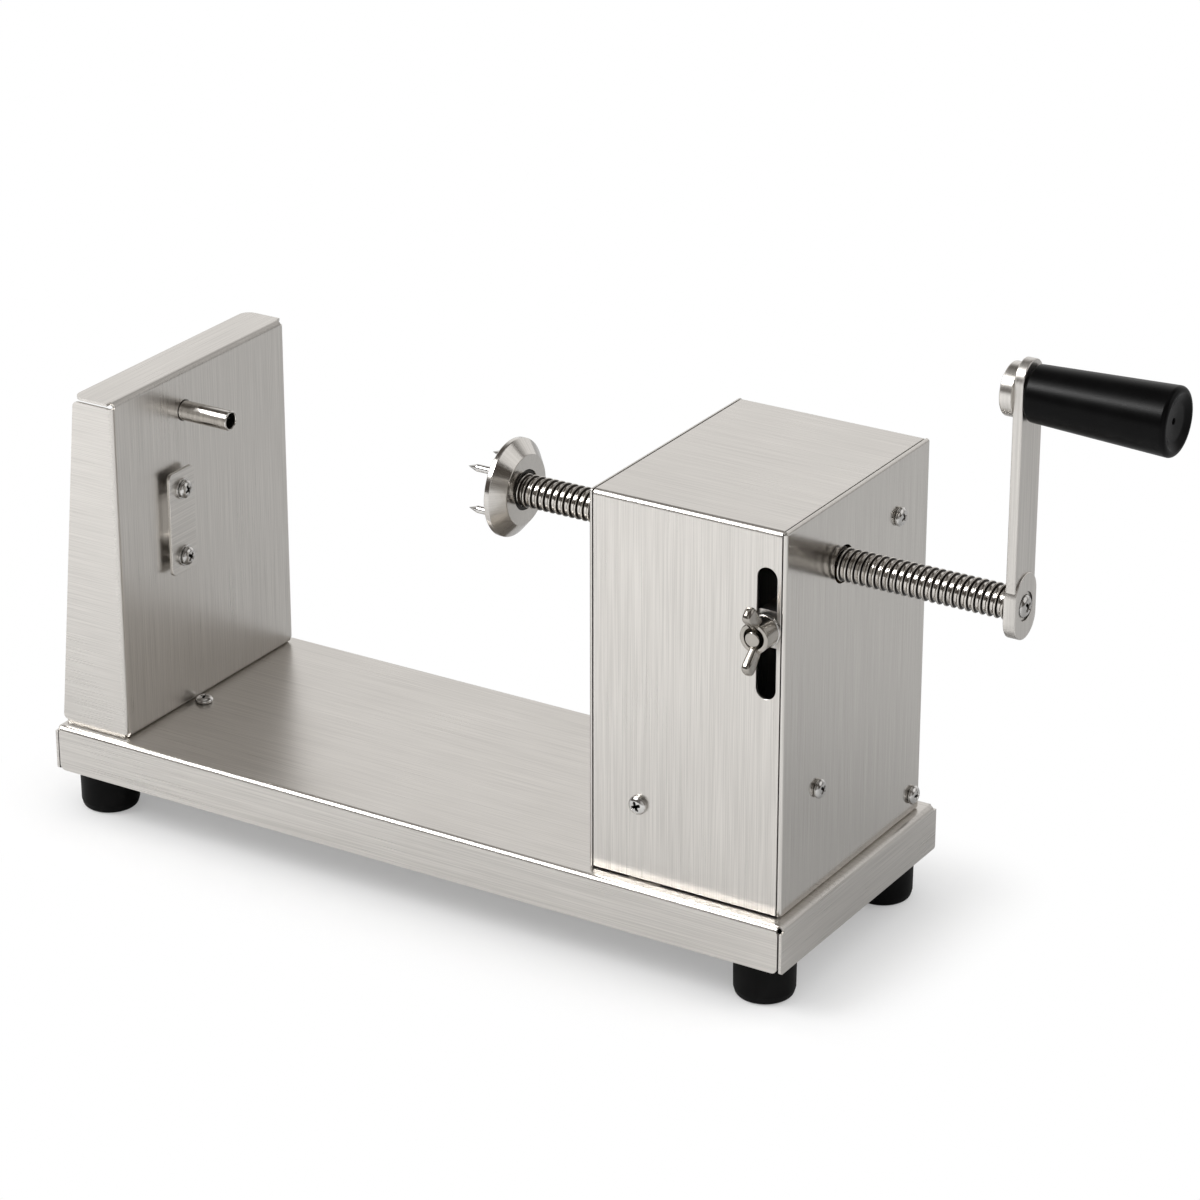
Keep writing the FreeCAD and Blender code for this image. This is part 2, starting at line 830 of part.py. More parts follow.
def make_drive_cover():
    """Folded cover: front wall, top and back wall, with the clamp slot and a tab for the end panel."""
    body = new_body("drive_cover")
    low = tray_top + S.housing_lift
    block = Drawing(body, "XY", low).rectangle(cover_left, cover_right, -housing_back, housing_back)
    pad(block, housing_top - low)
    fillet(body, lambda e: at(e, "Z", housing_top) and spans(e, "X", cover_left, cover_right), S.bend)
    ends = (cover_left, cover_right)
    hollow(body, lambda f: near(f.BoundBox.ZMax, low) or is_end_face(f, ends), S.sheet)
    tab_y = cover_inside - S.tab_size
    tab_z = tray_top + S.tab_screw_height
    tab = Drawing(body, "YZ", cover_right - S.sheet).rectangle(
        tab_y, cover_inside + S.sheet / 2, tab_z - S.tab_size / 2, tab_z + S.tab_size / 2
    )
    pad(tab, S.sheet)
    front = Drawing(body, "XZ", -housing_back)
    front.slot(
        (slot_x, lowest_stud_z - S.stud_radius - S.slot_end_play + S.slot_width / 2),
        (slot_x, stud_z + S.slot_above_stud - S.slot_width / 2),
        S.slot_width / 2,
    )
    pocket(front, S.bend)
    screws = Drawing(body, "XZ", -housing_back).circle(cover_screw_x, cover_screw_z, S.screw_hole)
    pocket(screws, 2 * housing_back)
    tab_hole = Drawing(body, "YZ", cover_right).circle(housing_back - S.tab_screw_inset, tab_z, S.screw_hole)
    pocket(tab_hole, S.bend)


def make_end_panel(label, outside, inward, foot_flange):
    """End wall of the housing: a plate with a port for the lead screw and a foot flange bent inwards,
    notched at its ends for the cover's walls."""
    body = new_body(label)
    inside = outside + inward * S.panel
    tip = outside + inward * foot_flange
    section = Drawing(body, "XZ", housing_back).polygon(
        [
            (outside, tray_top),
            (tip, tray_top),
            (tip, tray_top + S.panel),
            (inside, tray_top + S.panel),
            (inside, housing_top),
            (outside, housing_top),
        ]
    )
    pad(section, 2 * housing_back)
    fillet(body, lambda e: at(e, "X", outside) and at(e, "Z", tray_top), S.bend)
    fillet(body, lambda e: at(e, "X", inside) and at(e, "Z", tray_top + S.panel), S.bend - S.panel)
    bend_top = tray_top + S.bend
    fillet(body, lambda e: at(e, "X", outside) and not near(e.BoundBox.ZMax, bend_top), S.panel_round)
    notches = Drawing(body, "XY", tray_top)
    notch_start = inside + inward * (S.panel_gap / 2)
    for sign in (-1, 1):
        near_y = (cover_inside - S.panel_gap) * sign
        corners = sorted((notch_start, tip), key=float) + sorted((near_y, housing_back * sign), key=float)
        notches.rectangle(*corners)
    pocket(notches, S.bend, along=True)
    port = Drawing(body, "YZ", max(outside, inside, key=float)).circle(axis_y, axis_z, S.screw_port_radius)
    pocket(port, S.panel)
    return body


def panel_screw_spots():
    """Y and Z of the three screws in the right end panel."""
    return [
        (S.guide_screw_back, axis_z + S.guide_screw_above_axis),
        (-S.guide_screw_front, tray_top + S.guide_screw_low),
        (housing_back - S.tab_screw_inset, tray_top + S.tab_screw_height),
    ]


def make_end_panels():
    right = make_end_panel("end_panel_right", housing_right, -1, S.right_foot_flange)
    holes = Drawing(right, "YZ", housing_right)
    for y, z in panel_screw_spots():
        holes.circle(y, z, S.screw_hole)
    pocket(holes, S.panel)
    foot = Drawing(right, "XY", tray_top + S.panel)
    for x, y in foot_places()[2:]:
        foot.circle(x, y, S.screw_hole)
    pocket(foot, S.panel)
    left = make_end_panel("end_panel_left", housing_left, 1, S.left_foot_flange)
    flange = Drawing(left, "XY", tray_top + S.panel)
    for x, y in left_flange_screw_places():
        flange.circle(x, y, S.small_screw_hole)
    pocket(flange, S.panel)


def make_panel_fasteners():
    spots = panel_screw_spots()
    clamped = S.panel + S.guide_sheet
    length = clamped + S.nut_height + S.screw_tail
    group("panel_screws", m4_screw(length), [(housing_right, y, z) for y, z in spots], RIGHT)
    seats = [guide_face, guide_face, cover_right - S.sheet]
    group("panel_nuts", m4_nut(), [(x, y, z) for x, (y, z) in zip(seats, spots)], LEFT)


def make_drive_chassis():
    """Bent channel on the tray: two uprights that carry the bushes and two lugs for the cover's screws."""
    body = new_body("drive_chassis")
    inner_left = chassis_left + S.chassis_sheet
    inner_right = chassis_right - S.chassis_sheet
    top = axis_z + S.chassis_above_axis
    section = Drawing(body, "XZ", chassis_back).polygon(
        [
            (chassis_left, tray_top),
            (chassis_right, tray_top),
            (chassis_right, top),
            (inner_right, top),
            (inner_right, tray_top + S.chassis_sheet),
            (inner_left, tray_top + S.chassis_sheet),
            (inner_left, top),
            (chassis_left, top),
        ]
    )
    pad(section, S.chassis_width)
    outer = (chassis_left, chassis_right)
    inner = (inner_left, inner_right)
    fillet(body, lambda e: at(e, "Z", tray_top) and any(at(e, "X", x) for x in outer), S.chassis_bend)
    floor = tray_top + S.chassis_sheet
    fillet(
        body,
        lambda e: at(e, "Z", floor) and any(at(e, "X", x) for x in inner),
        S.chassis_bend - S.chassis_sheet,
    )
    fillet(
        body,
        lambda e: at(e, "Z", top) and near(e.Length, S.chassis_sheet),
        S.chassis_corner,
    )
    lug_right = cover_screw_x + S.chassis_tab_width / 2
    reach = cover_inside - S.chassis_tab_gap
    strip_left = chassis_left + S.chassis_bend
    for sign in (-1, 1):
        edge = chassis_front if sign < 0 else chassis_back
        outside = reach * sign
        section = Drawing(body, "YZ", strip_left).polygon(
            [
                (edge, tray_top),
                (outside, tray_top),
                (outside, tray_top + S.chassis_tab_height),
                (outside - sign * S.chassis_sheet, tray_top + S.chassis_tab_height),
                (outside - sign * S.chassis_sheet, floor),
                (edge, floor),
            ]
        )
        pad(section, lug_right - strip_left)
    for sign in (-1, 1):
        outside = reach * sign
        fillet(body, lambda e: at(e, "Z", tray_top) and at(e, "Y", outside), S.chassis_bend)
        inside = outside - sign * S.chassis_sheet
        fillet(
            body,
            lambda e: at(e, "Z", floor) and at(e, "Y", inside),
            S.chassis_bend - S.chassis_sheet,
        )
    lug_top = tray_top + S.chassis_tab_height
    fillet(
        body,
        lambda e: at(e, "Z", lug_top) and near(e.Length, S.chassis_sheet),
        S.chassis_tab_width / 4,
    )
    ports = Drawing(body, "YZ", chassis_right).circle(axis_y, axis_z, S.bush_radius)
    pocket(ports, chassis_right - chassis_left)
    bolts = Drawing(body, "XY", floor)
    for x, y in chassis_screw_places():
        bolts.circle(x, y, S.small_screw_hole)
    pocket(bolts, S.chassis_sheet)
    lugs = Drawing(body, "XZ", -reach).circle(cover_screw_x, cover_screw_z, S.screw_hole)
    pocket(lugs, 2 * reach)


def make_cover_fasteners():
    """The cover's two side screws, front and back, with their nuts behind the chassis' lugs."""
    inside = cover_inside - S.chassis_tab_gap - S.chassis_sheet
    screw = m4_screw(housing_back - inside + S.nut_height + S.screw_tail)
    heads = []
    nuts = []
    for sign, outward, inward in ((-1, FRONT, BACK), (1, BACK, FRONT)):
        heads += copies(screw, [(cover_screw_x, housing_back * sign, cover_screw_z)], outward)
        nuts += copies(m4_nut(), [(cover_screw_x, inside * sign, cover_screw_z)], inward)
    feature("cover_screws", heads)
    feature("cover_nuts", nuts)


def make_bush(label, face, outward):
    """Flanged plain bush, pushed into an upright from between the two, that the lead screw turns in."""
    body = new_body(label)
    bore = S.lead_radius + S.bush_clearance
    flange = face - outward * S.bush_flange
    neck = face + outward * (S.chassis_sheet + S.bush_neck)
    profile = Drawing(body, "XY").polygon(
        [
            (flange, bore),
            (flange, S.bush_flange_radius),
            (face, S.bush_flange_radius),
            (face, S.bush_radius),
            (neck, S.bush_radius),
            (neck, bore),
        ]
    )
    revolve(profile, "X")
    place(body, 0, axis_y, axis_z)
    return body


def make_bushes():
    make_bush("bush_left", chassis_left + S.chassis_sheet, -1)
    make_bush("bush_right", chassis_right - S.chassis_sheet, 1)


def make_nut_guide():
    """Guide plate on the right end panel, with a hooked rail that the carriage's rear end slides in."""
    body = new_body("nut_guide")
    margin = S.guide_margin
    low = tray_top + S.guide_screw_low - margin
    high = axis_z + S.guide_screw_above_axis + margin
    left = -S.guide_screw_front - margin
    right = S.guide_screw_back + margin
    plate = Drawing(body, "YZ", guide_face).rectangle(left, right, low, high)
    pad(plate, S.guide_sheet)
    fillet(body, lambda e: spans(e, "X", guide_face, panel_inside), margin)
    carriage_left = slot_x - carriage_half
    lip_face = carriage_left - S.guide_play
    heel = rail_heel()
    rail_low = lowest_stud_z - S.carriage_height / 2 - S.guide_lip_run_out
    rail = Drawing(body, "XY", rail_low).polygon(
        [
            (guide_face, heel),
            (lip_face, heel),
            (lip_face, heel - S.guide_lip),
            (lip_face - S.guide_lip_sheet, heel - S.guide_lip),
            (lip_face - S.guide_lip_sheet, heel + S.guide_lip_sheet),
            (guide_face, heel + S.guide_lip_sheet),
        ]
    )
    pad(rail, axis_z + S.guide_lip_above_axis - rail_low)
    outer = lip_face - S.guide_lip_sheet
    fillet(body, lambda e: at(e, "X", outer) and at(e, "Y", heel + S.guide_lip_sheet), S.guide_lip_sheet)
    holes = Drawing(body, "YZ", panel_inside).circle(axis_y, axis_z, S.guide_port_radius)
    for y, z in panel_screw_spots()[:2]:
        holes.circle(y, z, S.screw_hole)
    pocket(holes, S.guide_sheet)


def rail_heel():
    """Where the rail's web stands, just behind the carriage's rear end."""
    return axis_y + S.half_nut_width / 2 + S.seat_clearance + S.carriage_heel + S.guide_play


def make_nut_carriage():
    """Bar that slides down in the guide; it carries the half nut and the clamp's stud."""
    body = new_body("nut_carriage")
    low = stud_z - S.carriage_height / 2
    front = -(cover_inside - S.clamp_gap)
    back = rail_heel() - S.guide_play
    bar = Drawing(body, "XY", low).rectangle(slot_x - carriage_half, slot_x + carriage_half, front, back)
    pad(bar, S.carriage_height)
    fillet(body, lambda e: spans(e, "Y", front, back), S.carriage_round)
    seat = axis_z - S.half_nut_seat
    half = S.half_nut_width / 2 + S.seat_clearance
    notch = Drawing(body, "YZ", slot_x + carriage_half).rectangle(
        axis_y - half, axis_y + half, seat, carriage_top + S.carriage_round
    )
    pocket(notch, 2 * carriage_half)
    hole = Drawing(body, "XZ", front).circle(slot_x, stud_z, S.stud_radius + S.seat_clearance)
    pocket(hole, S.stud_depth)


def make_half_nut():
    """Lower half of the screw's nut; lifted, its saddle closes on the thread from below."""
    body = new_body("half_nut")
    seat = axis_z - S.half_nut_seat
    block = Drawing(body, "XY", seat).rectangle(
        slot_x - carriage_half,
        slot_x + carriage_half,
        axis_y - S.half_nut_width / 2,
        axis_y + S.half_nut_width / 2,
    )
    pad(block, S.half_nut_seat - S.half_nut_gap)
    top = axis_z - S.half_nut_gap
    sides = (axis_y - S.half_nut_width / 2, axis_y + S.half_nut_width / 2)
    fillet(body, lambda e: at(e, "Z", top) and any(at(e, "Y", y) for y in sides), S.carriage_round)
    saddle = Drawing(body, "YZ", slot_x + carriage_half).circle(
        axis_y, axis_z, S.lead_radius + S.half_nut_clearance
    )
    pocket(saddle, 2 * carriage_half)


def make_clamp():
    """Stud through the cover's slot, with the washer and wing nut that lock the carriage's height."""
    front = -(cover_inside - S.clamp_gap)
    washer_back = -housing_back - S.clamp_gap
    washer_front = washer_back - S.clamp_washer
    nut_front = washer_front - S.wing_hub_length
    stud = new_body("clamp_stud")
    start = front + S.stud_depth - S.seat_clearance
    end = nut_front - S.stud_end
    rod = Drawing(stud, "XZ", start).circle(slot_x, stud_z, S.stud_radius)
    pad(rod, start - end)
    chamfer(stud, lambda e: at(e, "Y", end), S.stud_end / 3)
    washer = new_body("clamp_washer")
    disc = Drawing(washer, "XZ", washer_back).circle(slot_x, stud_z, S.clamp_washer_radius)
    disc.circle(slot_x, stud_z, S.stud_radius + S.stud_clearance)
    pad(disc, S.clamp_washer)
    make_wing_nut(washer_front)


def make_wing_nut(seat):
    """Tapered hub with two rounded wings that flare away from the wall."""
    body = new_body("wing_nut")
    front = -S.wing_hub_length
    bore = S.stud_radius + S.stud_clearance
    half = S.wing_thickness / 2
    for sign in (-1, 1):
        wing = Drawing(body, "YZ", -half).slot(
            (-S.wing_root_drop, 0), (-S.wing_tip_spread, sign * S.wing_tip_rise), S.wing_radius
        )
        pad(wing, S.wing_thickness)
    hub = Drawing(body, "XY").polygon(
        [(0, 0), (S.wing_hub_radius, 0), (S.wing_hub_front_radius, front), (0, front)]
    )
    revolve(hub, "Y")
    clear = Drawing(body, "XZ", 2 * front).circle(0, 0, bore)
    pocket(clear, 3 * S.wing_hub_length)
    place(body, slot_x, seat, stud_z)


def make_lead_screw():
    """Lead screw: spigot and skewer socket at the pusher's end, driving square at the crank's end."""
    body = new_body("lead_screw")
    length = S.lead_right - S.lead_left
    thread = Drawing(body, "XY").rectangle(0, length, 0, S.lead_radius)
    revolve(thread, "X")
    chamfer(body, lambda e: near(e.Length, 2 * math.pi * S.lead_radius.value), S.lead_chamfer)
    spigot = Drawing(body, "YZ").circle(0, 0, S.lead_spigot_radius)
    pad(spigot, S.lead_spigot_length, against=True)
    half = S.lead_square / 2
    square = Drawing(body, "YZ", length).rectangle(-half, half, -half, half)
    pad(square, S.lead_square_length)
    socket = Drawing(body, "YZ", -S.lead_spigot_length).circle(0, 0, S.socket_radius)
    pocket(socket, S.socket_depth, along=True)
    tapped = Drawing(body, "YZ", length + S.lead_square_length).circle(
        0, 0, S.crank_screw_radius + S.seat_clearance
    )
    pocket(tapped, S.crank_screw_length)
    place(body, S.lead_left, axis_y, axis_z)


def make_pusher():
    """Pusher disc: rim towards the potato, coned back with a well for the loose washer, and four prongs."""
    disc = new_body("pusher_disc")
    bore = S.lead_spigot_radius + S.pusher_clearance
    spigot_seat = -S.pusher_well_depth
    front = -S.pusher_thickness
    rim_back = front + S.pusher_rim
    profile = Drawing(disc, "XY").polygon(
        [
            (front, bore),
            (front, S.pusher_radius),
            (rim_back, S.pusher_radius),
            (0, S.pusher_back_radius),
            (0, S.pusher_well_radius),
            (spigot_seat, S.pusher_well_radius),
            (spigot_seat, bore),
        ]
    )
    revolve(profile, "X")
    place(disc, S.lead_left + S.pusher_well_depth, axis_y, axis_z)
    seat = S.lead_left + S.pusher_well_depth + front
    count = round(S.prong_count.value)
    spots = []
    for k in range(count):
        turn = 2 * math.pi * (k + 0.5) / count
        y = axis_y + S.prong_circle * math.sin(turn)
        z = axis_z + S.prong_circle * math.cos(turn)
        spots.append((seat, y, z))
    shoulder = S.prong_length - S.prong_point
    spike = turned([(0, 0), (S.prong_radius, 0), (S.prong_radius, shoulder), (0, S.prong_length)])
    group("pusher_prongs", spike, spots, LEFT)


def make_feed_washer():
    """Loose washer in the pusher's well; it travels with the screw and doesn't turn with it."""
    body = new_body("feed_washer")
    inner = S.lead_radius + S.washer_clearance
    outer = S.pusher_well_radius - S.washer_clearance
    profile = Drawing(body, "XY").rectangle(0, S.washer_thickness, inner, outer)
    revolve(profile, "X")
    place(body, S.lead_left + S.washer_clearance, axis_y, axis_z)


def make_crank_arm():
    """Flat arm with a thicker lug, squared for the screw, and a round hole for the grip's pin."""
    body = new_body("crank_arm")
    half = S.arm_width / 2
    over = S.arm_overhang - half
    bar = Drawing(body, "YZ", arm_inside).slot((axis_y, axis_z - over), (axis_y, pin_z + over), half)
    pad(bar, S.arm_thickness)
    half = S.lug_width / 2
    over = S.lug_overhang - half
    lug_inside = arm_inside - S.lug_back
    lug = Drawing(body, "YZ", lug_inside).slot((axis_y, axis_z - over), (axis_y, axis_z + over), half)
    pad(lug, lug_outside - lug_inside)
    square = S.lead_square / 2 + S.seat_clearance
    socket = Drawing(body, "YZ", lug_inside).rectangle(
        axis_y - square, axis_y + square, axis_z - square, axis_z + square
    )
    pocket(socket, S.lead_square_length + S.seat_clearance, along=True)
    well = Drawing(body, "YZ", lug_outside).circle(axis_y, axis_z, S.crank_well_radius)
    pocket(well, S.crank_well_depth)
    bolt = Drawing(body, "YZ", lug_outside).circle(axis_y, axis_z, S.crank_screw_radius + S.seat_clearance)
    pocket(bolt, S.arm_thickness * 2)
    pin = Drawing(body, "YZ", arm_outside).circle(axis_y, pin_z, S.pin_radius + S.seat_clearance)
    pocket(pin, S.arm_thickness)


def make_crank_screw():
    seat = lug_outside - S.crank_well_depth
    screw = pan_screw(
        S.crank_screw_length, S.crank_screw_radius, S.crank_head_radius, S.crank_head_height
    )
    group("crank_screw", screw, [(seat, axis_y, axis_z)], RIGHT)


def make_grip():
    """Tapered grip that spins on a headed pin, the pin, and the clip that keeps the grip on it."""
    pin = new_body("grip_pin")
    shank = S.arm_thickness + S.pin_length
    head = Drawing(pin, "XY").polygon(
        [
            (-S.pin_head, 0),
            (-S.pin_head, S.pin_head_radius - S.lead_chamfer),
            (S.lead_chamfer - S.pin_head, S.pin_head_radius),
            (0, S.pin_head_radius),
            (0, S.pin_radius),
            (shank, S.pin_radius),
            (shank, 0),
        ]
    )
    revolve(head, "X")
    clip_start = shank - S.clip_inset - S.clip_thickness
    recess = S.pin_radius - S.clip_groove
    clip_end = clip_start + S.clip_thickness
    slot = Drawing(pin, "XY").rectangle(clip_start, clip_end, recess, S.clip_radius)
    groove(slot, "X")
    place(pin, arm_inside, axis_y, pin_z)

    clip = new_body("grip_clip")
    profile = Drawing(clip, "XY").rectangle(
        clip_start + S.seat_clearance,
        clip_end - S.seat_clearance,
        recess + S.seat_clearance,
        S.clip_radius,
    )
    revolve(profile, "X")
    place(clip, arm_inside, axis_y, pin_z)

    grip = new_body("grip")
    start = S.arm_thickness + S.grip_gap
    end = start + S.grip_length
    bore = S.pin_radius + S.pin_clearance
    floor = shank + S.clip_play
    outline = Drawing(grip, "XY").polygon(
        [
            (start, bore),
            (start, S.grip_near_radius - S.grip_near_round),
            (start + S.grip_near_round, S.grip_near_radius),
            (end - S.grip_chamfer, S.grip_far_radius),
            (end, S.grip_far_radius - S.grip_chamfer),
            (end, S.grip_dish_radius),
            (end - S.grip_dish, S.grip_vent),
            (floor, S.grip_vent),
            (floor, bore),
        ]
    )
    revolve(outline, "X")
    pocket_start = clip_start - S.clip_play
    pocket_end = clip_end + S.clip_play
    seat = Drawing(grip, "XY").rectangle(pocket_start, pocket_end, bore / 2, S.clip_radius + S.clip_play)
    groove(seat, "X")
    place(grip, arm_inside, axis_y, pin_z)


def make_everything():
    make_base_tray()
    for end, x in (("left", -foot_x), ("right", foot_x)):
        make_foot("foot_front_" + end, x, -foot_y)
        make_foot("foot_rear_" + end, x, foot_y)
    make_foot_bolts()
    make_blade_stand()
    make_skewer_tube()
    make_blade()
    make_blade_fasteners()
    make_drive_cover()
    make_end_panels()
    make_panel_fasteners()
    make_drive_chassis()
    make_cover_fasteners()
    make_tray_fasteners()
    make_bushes()
    make_nut_guide()
    make_nut_carriage()
    make_half_nut()
    make_clamp()
    make_lead_screw()
    make_pusher()
    make_feed_washer()
    make_crank_arm()
    make_crank_screw()
    make_grip()
    doc.recompute()


def sub_parts():
    kinds = ("PartDesign::Body", "Part::Feature")
    return [o for o in doc.Objects if o.TypeId in kinds]


def check():
    """Stops if any object failed to recompute or any sub-part isn't a sound solid."""
    for obj in doc.Objects:
        if "Invalid" in obj.State or "Error" in obj.State:
            raise RuntimeError("%s (%s): %s" % (obj.Name, obj.Label, obj.State))
    for obj in sub_parts():
        if obj.Shape.isNull() or not obj.Shape.isValid() or not obj.Shape.Solids:
            raise RuntimeError("%s has no sound solid" % obj.Label)


def export():
    os.makedirs("parts", exist_ok=True)
    for obj in sub_parts():
        obj.Shape.exportStep("parts/%s.step" % obj.Label)


make_everything()
check()
export()
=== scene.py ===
import math

import bmesh
import bpy
import numpy as np
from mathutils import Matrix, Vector


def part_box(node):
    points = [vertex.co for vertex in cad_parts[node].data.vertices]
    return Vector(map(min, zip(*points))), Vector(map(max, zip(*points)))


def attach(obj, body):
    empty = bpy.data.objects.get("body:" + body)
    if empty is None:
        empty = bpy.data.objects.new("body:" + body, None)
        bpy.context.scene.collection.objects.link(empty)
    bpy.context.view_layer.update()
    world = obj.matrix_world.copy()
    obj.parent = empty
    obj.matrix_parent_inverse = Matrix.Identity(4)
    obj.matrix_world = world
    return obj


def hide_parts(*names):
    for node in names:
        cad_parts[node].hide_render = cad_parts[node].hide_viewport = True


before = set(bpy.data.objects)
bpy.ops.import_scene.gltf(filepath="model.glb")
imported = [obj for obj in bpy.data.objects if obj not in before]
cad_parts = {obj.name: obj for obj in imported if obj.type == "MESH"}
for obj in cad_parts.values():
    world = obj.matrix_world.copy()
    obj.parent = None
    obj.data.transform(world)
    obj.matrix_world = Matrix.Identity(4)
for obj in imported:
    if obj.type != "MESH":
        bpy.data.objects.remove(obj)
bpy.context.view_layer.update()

bl_info = {
    "name": "Spiral potato cutter",
    "version": (1, 0, 0),
    "blender": (4, 5, 0),
    "location": "3D View > Sidebar > Cutter",
    "description": "Makes the visible pieces and finishes of a hand cranked spiral potato cutter",
    "category": "Object",
}

# Sizes are millimetres until a mesh is made. X runs towards the crank, -Y is the operator's side, +Z is up.
MM = 0.001

X, Y, Z = np.eye(3)


def box(node):
    """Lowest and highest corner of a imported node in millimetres."""
    low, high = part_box(node)
    return np.array(low) / MM, np.array(high) / MM


TRAY_LOW, TRAY_HIGH = box("base_tray")
STAND_LOW, STAND_HIGH = box("blade_stand")
BLADE_LOW, BLADE_HIGH = box("blade")
COVER_LOW, COVER_HIGH = box("drive_cover")
SCREW_LOW, SCREW_HIGH = box("lead_screw")
ARM_LOW, ARM_HIGH = box("crank_arm")
PIN_LOW, PIN_HIGH = box("grip_pin")
STUD_LOW, STUD_HIGH = box("clamp_stud")
AXIS = (SCREW_LOW + SCREW_HIGH) / 2
GRIP_AXIS = (PIN_LOW + PIN_HIGH) / 2
STUD_AXIS = (STUD_LOW + STUD_HIGH) / 2


def on_axis(x, axis=AXIS):
    """The point at x of the lead screw's axis, or of another along X."""
    return np.array([x, *axis[1:]])


def span(node, axis=AXIS):
    """Where a node starts on an axis along X, and its length."""
    low, high = box(node)
    return on_axis(low[0], axis), (high - low)[0]


def on_stud(y):
    """The point at y of the stud's axis."""
    return np.array([STUD_AXIS[0], y, STUD_AXIS[2]])


# ---- surfaces


SAME = 1e-6  # points closer than this are one: millimetres in a line, metres in a mesh
TINY = 1e-7  # metres under which an edge goes
EDGE_STEPS, SHARP_ANGLE, FACE_WEIGHT = 2, math.radians(40), 100


def surface(points, around=False):
    """Quads between neighbouring rows and columns of a grid of points. With around, the last column
    also meets the first."""
    rows, columns = points.shape[:2]
    row, column = np.mgrid[: rows - 1, : columns if around else columns - 1]
    beside = (column + 1) % columns
    here = row * columns
    quads = [here + column, here + beside, here + columns + beside, here + columns + column]
    return points.reshape(-1, 3), np.stack(quads, -1).reshape(-1, 4)


def rounded(corners, radii, steps):
    """An open line through the corners, each turned in an arc of its own radius. The arc is
    ((1-s)^2 A + 2ws(1-s) C + s^2 B) / ((1-s)^2 + 2ws(1-s) + s^2), where C is the corner, A and B lie
    on its two sides at radius times the tangent of half the turn, and w is the cosine of half the turn."""
    corner = np.asarray(corners, float)
    radius = np.array(np.broadcast_to(radii, len(corner)), float)
    radius[[0, -1]] = 0
    step = np.diff(corner, axis=0)
    step /= np.linalg.norm(step, axis=1, keepdims=True)
    towards = np.vstack([step, step[-1:]])
    back = -np.vstack([step[:1], step])
    half = np.arccos(np.clip(-(towards * back).sum(1), -1, 1)) / 2
    run = (radius * np.tan(half))[:, None]
    first, last = corner + back * run, corner + towards * run
    weight = np.cos(half)[:, None, None]
    s = np.linspace(0, 1, steps + 1)[None, :, None]
    parts = (1 - s) ** 2, 2 * weight * s * (1 - s), s**2
    line = parts[0] * first[:, None] + parts[1] * corner[:, None] + parts[2] * last[:, None]
    line = (line / sum(parts)).reshape(-1, corner.shape[1])
    moves = np.linalg.norm(np.diff(line, axis=0), axis=1) > SAME
    return line[np.append(True, moves)]


def fade(distance, length):
    """From 0 to 1 over a length as s^2 (3 - 2s)."""
    s = np.clip(distance / length, 0, 1)
    return s * s * (3 - 2 * s)


def turned(profile, centre, axis, segments):
    """A turned shape: centre + axis * a + r * (cos t * U + sin t * V) for each (a, r) of the profile,
    where U and V are square to the axis."""
    profile = np.asarray(profile, float)
    side = Z if abs(axis[2]) < 0.5 else X
    other = np.cross(axis, side)
    t = np.linspace(0, 2 * np.pi, segments, endpoint=False)
    ring = np.cos(t)[:, None] * side + np.sin(t)[:, None] * other
    points = centre + profile[:, :1, None] * axis + profile[:, 1:, None] * ring
    return surface(points, around=True)


def lathe(outline, start, length=0.0, axis=X, segments=96, steps=5):
    """A turned piece. Each corner of its outline is (end, offset, radius, round): it lies at the height
    end * length + offset from the start and is rounded with its round."""
    end, offset, radius, rounds = np.array(outline, float).T
    line = rounded(np.stack([end * length + offset, radius], -1), rounds, steps)
    return turned(line, start, axis, segments)


def washer(start, length, outer, inner, edge=0.2, axis=X):
    """A flat ring with broken edges."""
    corners = ((0, 0, inner), (0, 0, outer), (1, 0, outer), (1, 0, inner), (0, 0, inner))
    return lathe([(*corner, edge) for corner in corners], start, length, axis, 64, 3)


def obround(half_width, half_height, radius, steps=12):
    """Corner centres and outward directions of a rounded rectangle; its radius is returned with them."""
    t = np.concatenate([np.linspace(q, q + np.pi / 2, steps + 1) for q in np.arange(4) * np.pi / 2])
    out = np.stack([np.cos(t), np.sin(t)], -1)
    quarter = np.repeat([[1, 1], [-1, 1], [-1, -1], [1, -1]], steps + 1, axis=0)
    centres = quarter * (np.array([half_width, half_height]) - radius)
    return centres, out, radius


def slab(outline, levels, centre, axis=X, across=Y):
    """A flat piece: its outline, drawn in by the inset of each (inset, height) level, is carried
    along the axis. Its two open ends become single flat faces when the mesh is made."""
    centres, out, radius = outline
    levels = np.asarray(levels, float)
    flat = centres + (radius - levels[:, :1, None]) * out
    points = centre + flat[..., :1] * across + flat[..., 1:] * Z + levels[:, 1:, None] * axis
    return surface(points, around=True)


def edge_levels(thickness, low_edge, high_edge, steps=4):
    """(inset, height) levels of a slab whose two outer edges are rounded."""
    corners = [(low_edge, 0), (0, 0), (0, thickness), (high_edge, thickness)]
    return rounded(corners, [0, low_edge, high_edge, 0], steps)


